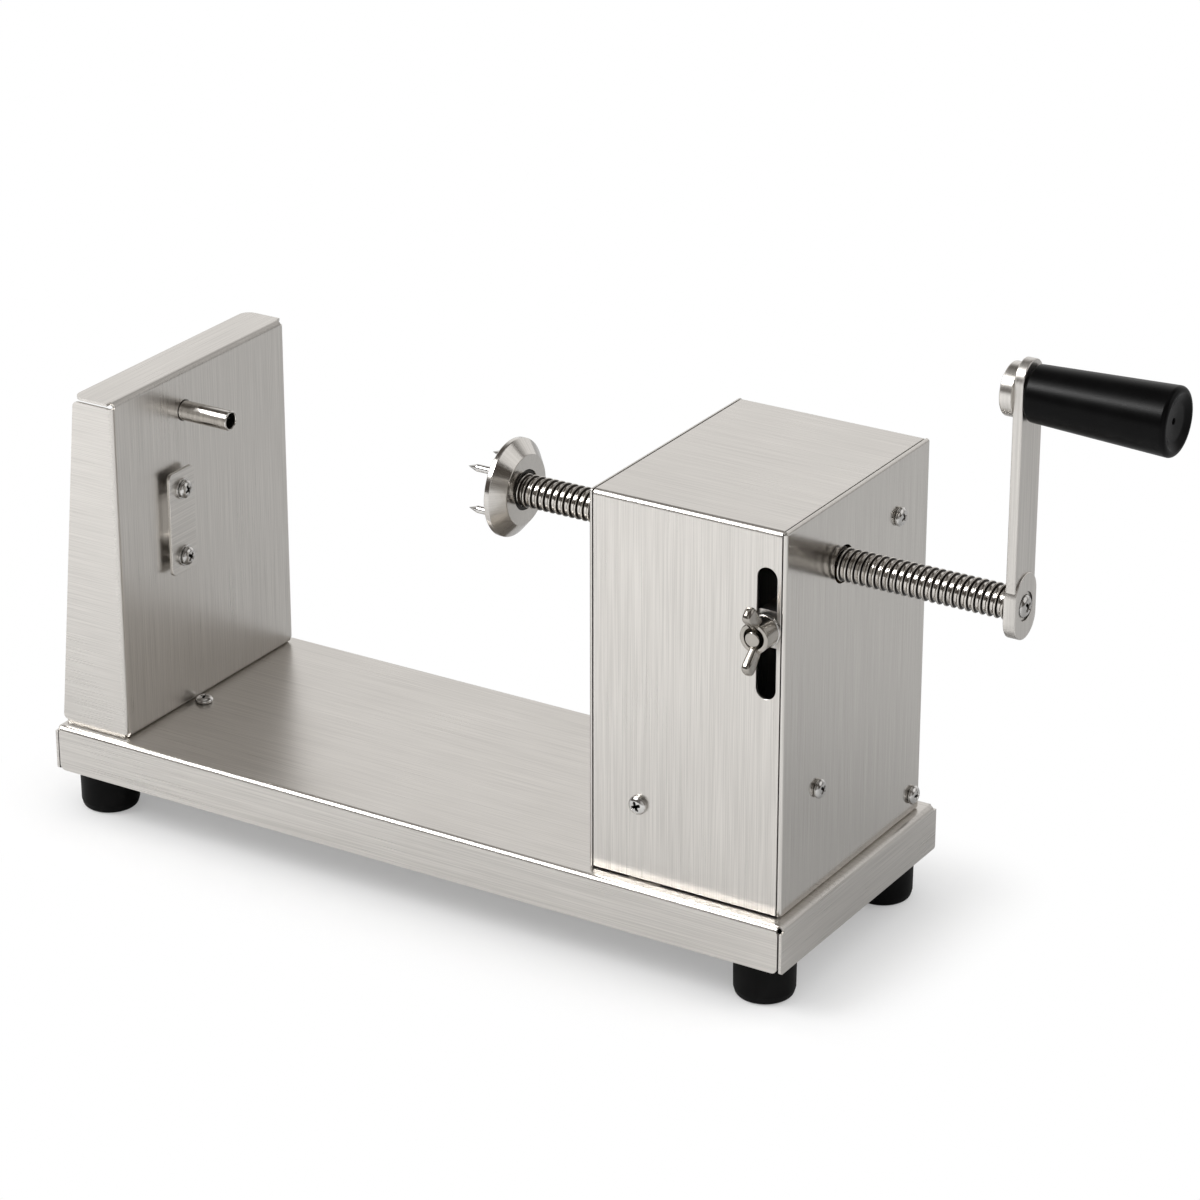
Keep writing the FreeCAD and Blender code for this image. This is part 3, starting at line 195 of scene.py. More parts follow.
def flange(start, end, out, down, bend, depth, reach, corner, steps=8):
    """A bent edge of a sheet. From the bend line it turns a quarter: bend * sin a outwards and
    bend * (1 - cos a) down, and then runs straight to its depth, which may differ at the two ends. Past
    the bend its ends reach further along the line, and their corners are rounded: they draw in by
    corner * (1 - cos a) along the line and by corner * (1 - sin a) up."""
    along = (end - start) / np.linalg.norm(end - start)
    a = np.linspace(0, np.pi / 2, steps + 1)
    straight = np.broadcast_to(depth, 2)[:, None] - corner * (1 - np.sin(a))
    drop = np.concatenate([np.tile(bend * (1 - np.cos(a)), (2, 1)), np.full((2, 1), bend), straight], 1).T
    outwards = np.concatenate([bend * np.sin(a), np.full(len(a) + 1, bend)])
    longer = np.concatenate([np.zeros(len(a)), [reach], reach - corner * (1 - np.cos(a))])
    ends = np.stack([start - longer[:, None] * along, end + longer[:, None] * along], 1)
    return surface(ends + outwards[:, None, None] * out + drop[..., None] * down)


def flat(corner, across, up):
    """A flat rectangle from one corner and its two sides."""
    return surface(np.array([[corner, corner + across], [corner + up, corner + across + up]]))


def folded(low, high, across, up, down, bend, edges):
    """A flat sheet between two corners, and a bent edge on each side that (out, depth, reach, corner)
    says: it runs along the side that out leaves."""
    size = high - low
    parts = [flat(low, size * across, size * up)]
    for out, *shape in edges:
        start = low + size * np.clip(out, 0, 1)
        end = start + size * (across + up - np.abs(out))
        parts.append(flange(start, end, out, down, bend, *shape))
    return parts


def mesh_of(name, surfaces, outside=None):
    """One mesh from several surfaces. Points that meet are merged and the faces are turned outwards;
    an open sheet is turned so that most of its area faces outside."""
    starts = np.cumsum([0] + [len(points) for points, _ in surfaces])
    points = np.concatenate([points for points, _ in surfaces]) * MM
    quads = np.concatenate([quads + first for (_, quads), first in zip(surfaces, starts)])
    mesh = bpy.data.meshes.new(name)
    mesh.vertices.add(len(points))
    mesh.vertices.foreach_set("co", points.ravel())
    mesh.loops.add(quads.size)
    mesh.loops.foreach_set("vertex_index", quads.ravel())
    mesh.polygons.add(len(quads))
    mesh.polygons.foreach_set("loop_start", np.arange(0, quads.size, 4))
    mesh.update(calc_edges=True)
    work = bmesh.new()
    work.from_mesh(mesh)
    bmesh.ops.remove_doubles(work, verts=work.verts, dist=SAME)
    bmesh.ops.dissolve_degenerate(work, edges=work.edges, dist=TINY)
    if outside is None:
        bmesh.ops.holes_fill(work, edges=work.edges, sides=0)
    bmesh.ops.recalc_face_normals(work, faces=work.faces)
    work.to_mesh(mesh)
    if outside is not None:
        normals, areas = np.zeros(len(mesh.polygons) * 3), np.zeros(len(mesh.polygons))
        mesh.polygons.foreach_get("normal", normals)
        mesh.polygons.foreach_get("area", areas)
        if (normals.reshape(-1, 3) * areas[:, None]).sum(0) @ outside < 0:
            bmesh.ops.reverse_faces(work, faces=work.faces)
            work.to_mesh(mesh)
    work.free()
    return mesh


def placed(name, data, place=(0, 0, 0), way=None):
    """A new object in the scene at a place in metres. A lamp or a camera looks along its way."""
    obj = bpy.data.objects.new(name, data)
    obj.location = place
    if way:
        obj.rotation_euler = way.to_track_quat("-Z", "Y").to_euler()
    bpy.context.scene.collection.objects.link(obj)
    return obj


def applied(obj):
    """The object's mesh with its modifiers applied, in place of the one it had."""
    graph = bpy.context.evaluated_depsgraph_get()
    graph.update()
    mesh = bpy.data.meshes.new_from_object(obj.evaluated_get(graph))
    obj.modifiers.clear()
    old, obj.data = obj.data, mesh
    bpy.data.meshes.remove(old)
    return mesh


def made(name, surfaces, node, finish=None, body="frame",
         outside=None, wall=0.0, cuts=(), edge=0.0):
    """A finished piece. An open sheet gets its wall inwards, the cuts are taken out of it, sharp edges
    are broken, it takes its finish and its body, and the imported node that it stands for is hidden."""
    obj = placed(name, mesh_of(name, surfaces, outside))
    if wall:
        solid = obj.modifiers.new("wall", "SOLIDIFY")
        solid.thickness, solid.offset = wall * MM, -1
    knives = [placed("cut", mesh_of("cut", [cut])) for cut in cuts]
    for knife in knives:
        difference = obj.modifiers.new("cut", "BOOLEAN")
        difference.object, difference.operation, difference.solver = knife, "DIFFERENCE", "EXACT"
    if wall or cuts:
        applied(obj)
    for knife in knives:
        bpy.data.meshes.remove(knife.data)
    if edge:
        bevel = obj.modifiers.new("edge", "BEVEL")
        bevel.width, bevel.segments = edge * MM, EDGE_STEPS
        bevel.limit_method, bevel.angle_limit = "ANGLE", SHARP_ANGLE
    obj.data.polygons.foreach_set("use_smooth", np.ones(len(obj.data.polygons), bool))
    obj.modifiers.new("shading", "WEIGHTED_NORMAL").weight = FACE_WEIGHT
    applied(obj)
    obj.data.materials.clear()
    obj.data.materials.append(finish or fastener_steel())
    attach(obj, body)
    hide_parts(node)
    return obj


# ---- finishes


class Value:
    """A socket of a finish. Arithmetic on it adds the Math nodes that work it out."""

    def __init__(self, finish, socket):
        self.finish, self.socket = finish, socket

    def math(self, operation, *values):
        return self.finish.node("Math", {"operation": operation}, dict(enumerate(values)))

    def __add__(self, other):
        return self.math("ADD", self, other)

    def __sub__(self, other):
        return self.math("SUBTRACT", self, other)

    def __rsub__(self, other):
        return self.math("SUBTRACT", other, self)

    def __mul__(self, other):
        return self.math("MULTIPLY", self, other)

    __radd__, __rmul__ = __add__, __mul__

    def size(self):
        return self.math("ABSOLUTE", self)

    def above(self, edge):
        return self.math("GREATER_THAN", self, edge)

    def ramp(self, low, high):
        """0 below low, 1 above high, and smooth between them."""
        return self.finish.node("MapRange", {"interpolation_type": "SMOOTHSTEP"}, {0: self, 1: low, 2: high})


class Finish:
    """A material or a world, and the one way in which its nodes are added."""

    def __init__(self, name, owner=None):
        self.material = owner or bpy.data.materials.new(name)
        self.material.use_nodes = True
        self.tree = self.material.node_tree
        self.tree.nodes.clear()

    def node(self, kind, settings=None, values=None, out=0):
        """A node with its settings, then the values or links of its sockets; gives one of its outputs."""
        node = self.tree.nodes.new("ShaderNode" + kind)
        for name, setting in (settings or {}).items():
            setattr(node, name, setting)
        for name, value in (values or {}).items():
            if isinstance(value, Value):
                self.tree.links.new(value.socket, node.inputs[name])
            else:
                node.inputs[name].default_value = value
        return Value(self, node.outputs[out]) if len(node.outputs) else None

    def coordinates(self, kind="Object"):
        return self.node("TexCoord", out=kind)

    def split(self, vector):
        return [self.node("SeparateXYZ", {}, {0: vector}, out=k) for k in range(3)]

    def ray(self, kind):
        """1 on rays of a kind, which is Camera, Transmission or Glossy, and else 0."""
        return self.node("LightPath", out="Is %s Ray" % kind)

    def vector(self, operation, *values, out=0):
        return self.node("VectorMath", {"operation": operation}, dict(enumerate(values)), out)

    def mix(self, factor, low, high):
        """A colour or vector between low and high."""
        return self.node("Mix", {"data_type": "RGBA"}, {"Factor": factor, 6: low, 7: high}, out=2)

    def noise(self, vector, scale, detail=2.0, roughness=0.5):
        values = {"Vector": vector, "Scale": scale, "Detail": detail, "Roughness": roughness}
        return self.node("TexNoise", {}, values)

    def bump(self, height, depth):
        """Grooves and ridges of a depth in millimetres."""
        return self.node("Bump", {}, {"Height": height, "Distance": depth * MM, "Strength": 1.0})

    def shaded(self, **values):
        """Ends the finish in a principled shader; names are its sockets with _ for spaces."""
        values = {name.replace("_", " "): value for name, value in values.items()}
        shader = self.node("BsdfPrincipled", {}, values)
        self.node("OutputMaterial", {}, {"Surface": shader})
        return self.material


def shade_of(colour, share):
    """The colour brightened or darkened by a share, with its alpha."""
    return (*(min(1.0, c * share) for c in colour[:3]), 1.0)


def tinted(noise, colour, dark, light, low=0.35, high=0.65):
    """The colour times dark where the noise is under low, and times light where it is over high."""
    return noise.finish.mix(noise.ramp(low, high), shade_of(colour, dark), shade_of(colour, light))


def varied(level, *noises):
    """A level that each (noise, width) moves by width * (noise - 1/2)."""
    total = level - sum(width for _, width in noises) / 2
    for noise, width in noises:
        total = noise * width + total
    return total


def from_axis(finish, centre):
    """The way straight out from a line along X through a point in millimetres, and its length in metres."""
    offset = finish.vector("SUBTRACT", finish.coordinates(), tuple(np.array(centre) * MM))
    offset = finish.vector("MULTIPLY", offset, (0.0, 1.0, 1.0))
    return offset, finish.vector("LENGTH", offset, out="Value")


# How much the brushing's noise is drawn out, and the part of a normal past which a face looks that way.
DRAWN_OUT, FACING = 0.008, 0.7


def brushed_steel(name, grain, tone=1.0, dull=0.0):
    """Satin stainless sheet. The three letters of grain are the axes that the brushing follows on faces
    towards X, towards Y and towards Z. A noise stretched along the grain moves the colour and the
    roughness and cuts fine grooves; a slow cloud of rubbing lies over it."""
    finish = Finish(name)
    place = finish.coordinates()
    _, facing_y, facing_z = finish.split(finish.coordinates("Normal"))
    stretch = [tuple(DRAWN_OUT if axis == letter else 1.0 for axis in "XYZ") + (1.0,) for letter in grain]
    towards = finish.mix(facing_y.size().above(FACING), stretch[0], stretch[1])
    towards = finish.mix(facing_z.size().above(FACING), towards, stretch[2])
    along = finish.vector("MULTIPLY", place, towards)
    fine = finish.noise(along, scale=2600.0, roughness=0.6)
    wide = finish.noise(along, scale=800.0, roughness=0.6)
    cloud = finish.noise(place, scale=22.0)
    line = fine * 0.8 + wide * 0.2
    return finish.shaded(
        Base_Color=tinted(line, finishes().steel_colour, 0.86 * tone, 1.08 * tone, 0.3, 0.7),
        Metallic=1.0,
        Roughness=varied(finishes().brushed_roughness + dull, (line, 0.12), (cloud, 0.1)),
        Normal=finish.bump(fine, 0.007 * finishes().grain_depth),
    )


def turned_steel(name, centre, roughness, tone=1.0, spoke=0.0):
    """Steel turned or polished round a line along X. A noise of the distance from the line and of the
    place along it makes fine rings, or, with spoke, a noise of the angle makes a radial sheen."""
    finish = Finish(name)
    offset, distance = from_axis(finish, centre)
    if spoke:
        line = finish.noise(finish.vector("NORMALIZE", offset), scale=spoke, roughness=0.6)
    else:
        along = finish.split(finish.coordinates())[0]
        place = finish.node("CombineXYZ", {}, {0: distance, 1: along, 2: 0.0})
        line = finish.noise(place, scale=900.0, roughness=0.6)
    cloud = finish.noise(finish.coordinates(), scale=60.0)
    return finish.shaded(
        Base_Color=tinted(line, finishes().steel_colour, 0.86 * tone, 1.05 * tone, 0.3, 0.7),
        Metallic=1.0,
        Roughness=varied(roughness, (line, 0.1), (cloud, 0.08)),
        Normal=finish.bump(line, 0.008),
    )


def plain_metal(name, colour, roughness):
    """Cast, plated or rolled metal with a fine grain and darker clouds."""
    finish = Finish(name)
    place = finish.coordinates()
    grain = finish.noise(place, scale=900.0, detail=3.0, roughness=0.6)
    cloud = finish.noise(place, scale=90.0)
    return finish.shaded(
        Base_Color=tinted(cloud, colour, 0.88, 1.06),
        Metallic=1.0,
        Roughness=varied(roughness, (grain, 0.12), (cloud, 0.08)),
        Normal=finish.bump(grain, 0.006),
    )


ZINC, NICKEL = (0.60, 0.59, 0.575), (0.42, 0.395, 0.36)
# The second colour is black steel's, and it also serves as shade painted into recesses.
POLISHED, BLACK_AND_SHADE = (0.64, 0.61, 0.57), (0.03, 0.027, 0.024)
# Shares of the thread's depth between which the painted shade comes in at the floor and goes out at the crest.
SHADED_DEPTHS = 1.0, 0.9, 0.3, 0.08
# The first colour is the dark shade painted on the thread's flanks; the second is the grey of dust on moulded
# parts.
PAINTED_SHADE, DUST = (0.022, 0.018, 0.015, 1.0), (0.4, 0.39, 0.38, 1.0)


def threaded_steel(name, colour, crest, depth):
    """Polished thread with shade painted on its flanks: where the distance from the axis lies between the
    groove's floor and its crest, the colour is painted dark as shade and the steel turns dull."""
    finish = Finish(name)
    distance = from_axis(finish, AXIS)[1]
    floor, low, high, top = ((crest - share * depth) * MM for share in SHADED_DEPTHS)
    # Painted shade: the groove's flanks are coloured dark where their shade falls, and they are rougher.
    flank_shade = distance.ramp(floor, low) * (1 - distance.ramp(high, top))
    place = finish.coordinates()
    grain = finish.noise(place, scale=1200.0, roughness=0.6)
    cloud = finish.noise(place, scale=140.0)
    return finish.shaded(
        Base_Color=finish.mix(flank_shade, tinted(cloud, colour, 0.86, 1.06), PAINTED_SHADE),
        Metallic=1.0,
        Roughness=varied(0.16, (grain, 0.08), (cloud, 0.04)) + flank_shade * 0.2,
        Normal=finish.bump(grain, 0.003),
    )


def moulded(name, colour, roughness, speckle, depth, dust):
    """Moulded plastic or rubber: a fine matt grain, and clouds where a share of dust shows."""
    finish = Finish(name)
    place = finish.coordinates()
    grain = finish.noise(place, scale=speckle)
    cloud = finish.noise(place, scale=70.0, detail=3.0, roughness=0.6)
    return finish.shaded(
        Base_Color=finish.mix(cloud.ramp(0.4, 0.8) * dust, shade_of(colour, 1.0), DUST),
        Roughness=varied(roughness, (grain, 0.14), (cloud, 0.1)),
        Specular_IOR_Level=0.08,
        Normal=finish.bump(grain, depth),
    )


# ---- what a user may change


def number(name, description, default, **limits):
    return bpy.props.FloatProperty(name=name, description=description, default=default, **limits)


def colour(name, description, default):
    return bpy.props.FloatVectorProperty(
        name=name, description=description, default=default, subtype="COLOR"
    )


class CutterSizes(bpy.types.PropertyGroup):
    bend: number("Bend", "Outer radius of the folded sheets in millimetres", 2.4, min=1.3)
    sheet: number("Sheet", "Thickness of the tray, stand and cover in millimetres", 1.2, min=0.5)
    edge: number("Edge", "Width of the broken sheet edges in millimetres", 0.25, min=0.0)
    thread_pitch: number("Thread pitch", "Feed of the screw for each turn in millimetres", 3.0, min=1.0)
    thread_depth: number("Thread depth", "Depth of the thread's groove in millimetres", 1.15, min=0.1)


class CutterFinishes(bpy.types.PropertyGroup):
    steel_colour: colour("Steel", "Colour of the stainless steel", (0.66, 0.636, 0.603))
    brushed_roughness: number("Brushed roughness", "Roughness of the brushed sheets", 0.3, min=0.05, max=1)
    grain_depth: number("Grain", "Depth of the brushing, where 1 is as new", 1.0, min=0, max=5)
    grip_colour: colour("Grip", "Colour of the grip", (0.0016, 0.0016, 0.0017))
    rubber_colour: colour("Feet", "Colour of the rubber feet", (0.0025, 0.0025, 0.0025))
    brass_colour: colour("Brass", "Colour of the bushes and the half nut", (0.72, 0.50, 0.22))


class CutterStudio(bpy.types.PropertyGroup):
    floor_colour: colour("Floor", "Colour of the floor", (0.93, 0.93, 0.93))
    key_power: number("Key lamp", "Power of the large lamp in watts", 30.0, min=0, unit="POWER")
    fill_power: number("Fill lamp", "Power of the lamp behind in watts", 8.0, min=0, unit="POWER")
    glint_power: number("Glint", "Power in watts of the lamp for the gloss", 26.0, min=0, unit="POWER")
    shadow: number("Shadow", "How much of the floor's shadow shows", 0.72, min=0, max=1, subtype="FACTOR")


def sizes():
    return bpy.context.scene.cutter_sizes


def finishes():
    return bpy.context.scene.cutter_finishes


def kept(name, maker, *args, **options):
    """A finish that is made once and then shared by name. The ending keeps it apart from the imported
    nodes' own materials, whose names are the slots'."""
    name += "_finish"
    return bpy.data.materials.get(name) or maker(name, *args, **options)


def sheet_steel(name, grain, **options):
    """Brushed steel whose grain runs as the three letters say."""
    return kept(name, brushed_steel, grain, **options)


def fastener_steel():
    return kept("fastener_steel", plain_metal, ZINC, roughness=0.2)


# Black steel, which also stands as painted shade in the recesses of screw heads and of the crank lug's well.
def black_steel_and_painted_shade():
    return kept("blackened_steel", plain_metal, BLACK_AND_SHADE, roughness=0.3)


# ---- sheet metal

# Tray: how far the long edges run on past the bends, what the short ones lack of a bend, their rounds.
TRAY_REACH, TRAY_LAP, TRAY_ROUND, LAP_ROUND = 0.6, 0.2, 2.6, 1.2
# Stand: depth of its top, what its foot lacks of a bend, how far its cheeks run on, and their rounds.
STAND_TOP, FOOT_INSET, CHEEK_REACH = 20.0, 1.6, 0.15
TOP_ROUND, FOOT_ROUND, CHEEK_ROUND = 5.0, 1.0, 2.2
# The mouth's middle (y, z) and half its width and height; the radii of the round openings.
MOUTH, MOUTH_HALF = (-20.7, 124.2), (4.5, 10.5)
TUBE_HOLE, PORT = 4.6, 7.6
# The slot's middle x, its width, and its ends in z.
SLOT_X, SLOT_WIDTH, SLOT_Z = 162.35, 8.5, (129.5, 183.1)
# End panels: sheet, corners, rounds of the outer and the inner edge, inset and round of the foot.
PANEL_SHEET, PANEL_CORNER, PANEL_EDGES = 1.5, 1.3, (1.29, 0.2)
TONGUE_INSET, TONGUE_ROUND = 3.0, 2.0
EASED, SMOOTHER = 0.2, -0.14  # a broken edge's width, and what the right panel's roughness lacks
KNIFE = 8.0  # how far a knife reaches


def bore(radius, x, segments, depth=KNIFE, rise=KNIFE):
    """A round knife on the lead screw's axis, which cuts to a depth left of x and rises on its right."""
    return turned([(-depth, 0), (-depth, radius), (rise, radius), (rise, 0)], on_axis(x), X, segments)


def slit(half_width, half_height, centre, axis=X, across=Y):
    """A long knife whose round ends have half its width as their radius."""
    return slab(obround(half_width, half_height, half_width), [(0, -KNIFE), (0, KNIFE)], centre, axis, across)


class CUTTER_OT_tray(bpy.types.Operator):
    """Makes the folded base tray"""

    bl_idname = "cutter.tray"
    bl_label = "Base tray"

    def execute(self, context):
        bend, depth = sizes().bend, (TRAY_HIGH - TRAY_LOW)[2]
        long, short = (depth, TRAY_REACH, TRAY_ROUND), (depth, bend - TRAY_LAP, LAP_ROUND)
        edges = (-Y, *long), (Y, *long), (-X, *short), (X, *short)
        low, high = TRAY_LOW + (bend, bend, depth), TRAY_HIGH - (bend, bend, 0)
        parts = folded(low, high, X, Y, -Z, bend, edges)
        made("tray_sheet", parts, "base_tray", sheet_steel("tray_steel", "YXX"),
             outside=Z, wall=sizes().sheet, edge=sizes().edge)
        return {"FINISHED"}


class CUTTER_OT_stand(bpy.types.Operator):
    """Makes the folded stand that carries the blade and the skewer tube"""

    bl_idname = "cutter.stand"
    bl_label = "Blade stand"

    def execute(self, context):
        bend, depth, wall = sizes().bend, (STAND_HIGH - STAND_LOW)[0], STAND_HIGH[0]
        cheek = (depth, STAND_TOP), CHEEK_REACH, CHEEK_ROUND
        head, foot = (STAND_TOP, bend, TOP_ROUND), (depth, bend - FOOT_INSET, FOOT_ROUND)
        edges = (Z, *head), (-Z, *foot), (-Y, *cheek), (Y, *cheek)
        low, high = STAND_LOW + (depth, bend, bend), STAND_HIGH - (0, bend, bend)
        parts = folded(low, high, Y, Z, -X, bend, edges)
        cuts = bore(TUBE_HOLE, wall, 64), slit(*MOUTH_HALF, (wall, *MOUTH))
        made("stand_sheet", parts, "blade_stand", sheet_steel("stand_steel", "ZXY"),
             outside=X, wall=sizes().sheet, cuts=cuts, edge=sizes().edge)
        return {"FINISHED"}


class CUTTER_OT_housing(bpy.types.Operator):
    """Makes the folded cover and the two end panels of the drive housing"""

    bl_idname = "cutter.housing"
    bl_label = "Drive housing"

    def execute(self, context):
        (left, front, low), (right, back, top) = COVER_LOW, COVER_HIGH
        section = rounded([(front, low), (front, top), (back, top), (back, low)], sizes().bend, 8)
        grid = np.empty((len(section), 2, 3))
        grid[..., 0], grid[..., 1:] = (left, right), section[:, None]
        middle, half_height = sum(SLOT_Z) / 2, (SLOT_Z[1] - SLOT_Z[0]) / 2
        slot = slit(SLOT_WIDTH / 2, half_height, (SLOT_X, front, middle), Y, X)
        finish = sheet_steel("cover_steel", "ZZX")
        made("cover_sheet", [surface(grid)], "drive_cover", finish,
             outside=Z, wall=sizes().sheet, cuts=[slot], edge=sizes().edge)
        smooth = sheet_steel("panel_steel", "ZZX", dull=SMOOTHER)
        self.panel("panel_right", "end_panel_right", -X, smooth)
        self.panel("panel_left", "end_panel_left", X, finish)
        return {"FINISHED"}

    def panel(self, name, node, inner, finish):
        """An end panel: a plate with a port for the screw, and its sheet bent inwards at the foot."""
        low, high = box(node)
        (_, half_width, half_height), middle = (high - low) / 2, (high + low)[2] / 2
        outer, reach, bend = (low if inner[0] > 0 else high)[0], half_width - TONGUE_INSET, sizes().bend
        levels = edge_levels(PANEL_SHEET, *PANEL_EDGES, 6)
        plate = slab(obround(half_width, half_height, PANEL_CORNER), levels, (outer, 0, middle), inner)
        foot = np.array([outer, 0, low[2] + bend])
        depth = (high - low)[0]
        tongue = flange(foot - reach * Y, foot + reach * Y, -Z, inner, bend, depth, 0.0, TONGUE_ROUND)
        made(name, [plate], node, finish, cuts=[bore(PORT, outer, 96)], edge=EASED)
        made(name + "_foot", [tongue], node, finish,
             outside=-inner, wall=PANEL_SHEET, edge=EASED)


# ---- fasteners

# Shares of a pan head's radius: its rings, half the width and the length of the recess's arms, and how
# far these slope. Shares of its height: the dome, the recess and the rim.
RINGS = np.concatenate([np.linspace(0, 0.62, 26), np.linspace(0.66, 0.97, 8)])
ARM, SLOPE = (0.17, 0.58), (0.1, 0.3)
DOME, SUNK, RIM = 0.5, 0.8, 0.42
# Shade is painted in a recess within a share of the radius, and from above the seat to a share of the height.
SHADE_RADIUS, SHADE_HEIGHT, ABOVE_SEAT = 0.6, 0.72, 0.05


def pan_head(place, axis, radius, height, turn):
    """A pan head with a cross recess. Its height over the share s of its radius is height * (1 - s^4 / 2)
    with a rounded rim, less the depth of two crossed arms whose walls slope."""
    t = np.linspace(0, 2 * np.pi, 96, endpoint=False)
    r, rise = RINGS * radius, height * (1 - DOME * RINGS**4)
    u, v = (np.abs(RINGS[:, None] * wave) for wave in (np.cos(t), np.sin(t)))
    arms = [fade(ARM[0] - a, SLOPE[0]) * fade(ARM[1] - b, SLOPE[1]) for a, b in ((u, v), (v, u))]
    top = rise[:, None] - SUNK * height * np.maximum(*arms)
    edge = [(rise[-1], r[-1]), (RIM * height, radius), (ABOVE_SEAT, radius), (0, 0.9 * radius)]
    rim = rounded(edge, 0.25 * radius, 5)
    a = np.concatenate([top, np.repeat(rim[1:, :1], len(t), 1), np.zeros((1, len(t)))])
    reach = np.concatenate([r, rim[1:, 1], [0.0]])
    side = np.cross(axis, Z) if abs(axis[2]) < 0.5 else X
    ring = np.cos(t + turn)[:, None] * side + np.sin(t + turn)[:, None] * np.cross(axis, side)
    return surface(place + a[..., None] * axis + reach[:, None, None] * ring, around=True)


def paint_shade(obj, places, radius, low, high):
    """Paints shade on the faces within a radius of each (place, axis) and between two heights on it, in
    blackened steel.
    """
    mesh = obj.data
    mesh.materials.append(black_steel_and_painted_shade())
    centre = np.zeros(len(mesh.polygons) * 3)
    mesh.polygons.foreach_get("center", centre)
    dark = np.zeros(len(mesh.polygons), int)
    for place, axis in places:
        offset = centre.reshape(-1, 3) / MM - place
        above = offset @ axis
        aside = np.linalg.norm(offset - above[:, None] * axis, axis=1)
        dark |= (aside < radius) & (above > low) & (above < high)
    mesh.polygons.foreach_set("material_index", dark)


def screw(place, axis, radius, height, shank, length, turn):
    """A pan head and its shank, whose end is chamfered."""
    body = rounded([(-0.01, 0), (-0.01, shank), (-length, shank), (-length, 0)], [0, 0, 0.3, 0], 3)
    return [pan_head(place, axis, radius, height, turn), turned(body, place, axis, 32)]


M4, M3 = (3.9, 2.7, 2.0), (2.8, 2.0, 1.5)  # radius and height of the head, radius of the shank
# Screws on the tray (x, y), inside it (x, y, sheet under the head), on the right panel (y, z), on the
# cover (x, z) and on the blade (y, z), and their lengths.
STOP = (-135.6, -12.0)
INSIDE = [(91.0, y, 1.5) for y in (-35.0, 35.0)] + [(x, y, 2.0) for x in (108.0, 138.0) for y in (-28.0, 4.0)]
ON_PANEL = (32.0, 174.3), (-29.0, 82.9), (50.2, 47.1)
ON_COVER = (107.1, 71.3)
ON_BLADE = (MOUTH[0], 139.2), (MOUTH[0], 109.2)
STOP_LENGTH, INSIDE_LENGTH, BLADE_LENGTH, HOUSING_LENGTH = 5.5, 6.0, 10.4, 8.0


class CUTTER_OT_screws(bpy.types.Operator):
    """Makes the cross headed screws of the tray, blade, panel and cover"""

    bl_idname = "cutter.screws"
    bl_label = "Screws"

    def execute(self, context):
        top, seat, outer = TRAY_HIGH[2], box("blade_washers")[1][0], box("end_panel_right")[1][0]
        x, z = ON_COVER
        inside = [((*place, top + sheet), Z) for *place, sheet in INSIDE]
        self.heads("tray_screws", [((*STOP, top), Z)], STOP_LENGTH, inside)
        self.heads("blade_screws", [((seat, *place), X) for place in ON_BLADE], BLADE_LENGTH)
        self.heads("panel_screws", [((outer, *place), X) for place in ON_PANEL], HOUSING_LENGTH)
        sides = [((x, y, z), out) for y, out in ((COVER_LOW[1], -Y), (COVER_HIGH[1], Y))]
        self.heads("cover_screws", sides, HOUSING_LENGTH)
        return {"FINISHED"}

    def heads(self, node, places, length, inside=()):
        """M4 screws with shade painted in their recesses and M3 ones inside, each turned a bit further than
        the last.
        """
        parts = []
        for k, (place, axis) in enumerate(places):
            parts += screw(place, axis, *M4, length, 0.4 + 0.5 * k)
        for k, (place, axis) in enumerate(inside):
            parts += screw(place, axis, *M3, INSIDE_LENGTH, 0.7 * k)
        obj = made(node[:-1] + "_set", parts, node)
        # Shade painted into the recesses of the M4 heads.
        paint_shade(obj, places, SHADE_RADIUS * M4[0], ABOVE_SEAT, SHADE_HEIGHT * M4[1])


# ---- blade and tube

BLADE_CORNER, BLADE_EDGES, BLADE_BORE = 2.5, (0.25, 0.3), 2.2
# Corners of turned outlines, as lathe() takes them.
TUBE = (
    (0, 0.4, 3.3, 0), (0, 0, 3.5, 0.1), (0, 0, 4.2, 0.4), (1, 0, 4.2, 0.5), (1, 0, 3.5, 0.2),
    (1, -0.4, 3.3, 0.1), (0, 0.4, 3.3, 0),
)


class CUTTER_OT_blade(bpy.types.Operator):
    """Makes the blade with its spacers and washers, and the skewer tube with its collar"""

    bl_idname = "cutter.blade"
    bl_label = "Blade and tube"

    def execute(self, context):
        thick, width, height = BLADE_HIGH - BLADE_LOW
        _, y, z = (BLADE_LOW + BLADE_HIGH) / 2
        outline = obround(width / 2, height / 2, BLADE_CORNER)
        plate = slab(outline, edge_levels(thick, *BLADE_EDGES), (BLADE_LOW[0], y, z))
        made("blade_plate", [plate], "blade", sheet_steel("blade_steel", "YYY"))
        for node, radius in (("blade_spacers", 4.0), ("blade_washers", 4.5)):
            (x, *_), length = span(node)
            made(node + "_set", [washer((x, *place), length, radius, BLADE_BORE) for place in ON_BLADE], node)
        start, length = span("skewer_tube")
        polish = kept("tube_steel", turned_steel, start, roughness=0.16)
        tube = lathe(TUBE, start, length, segments=64, steps=4)
        made("tube", [tube], "skewer_tube", polish)
        made("collar", [washer(*span("tube_collar"), outer=8.0, inner=4.25, edge=0.6)], "tube_collar")
        return {"FINISHED"}


# ---- feed

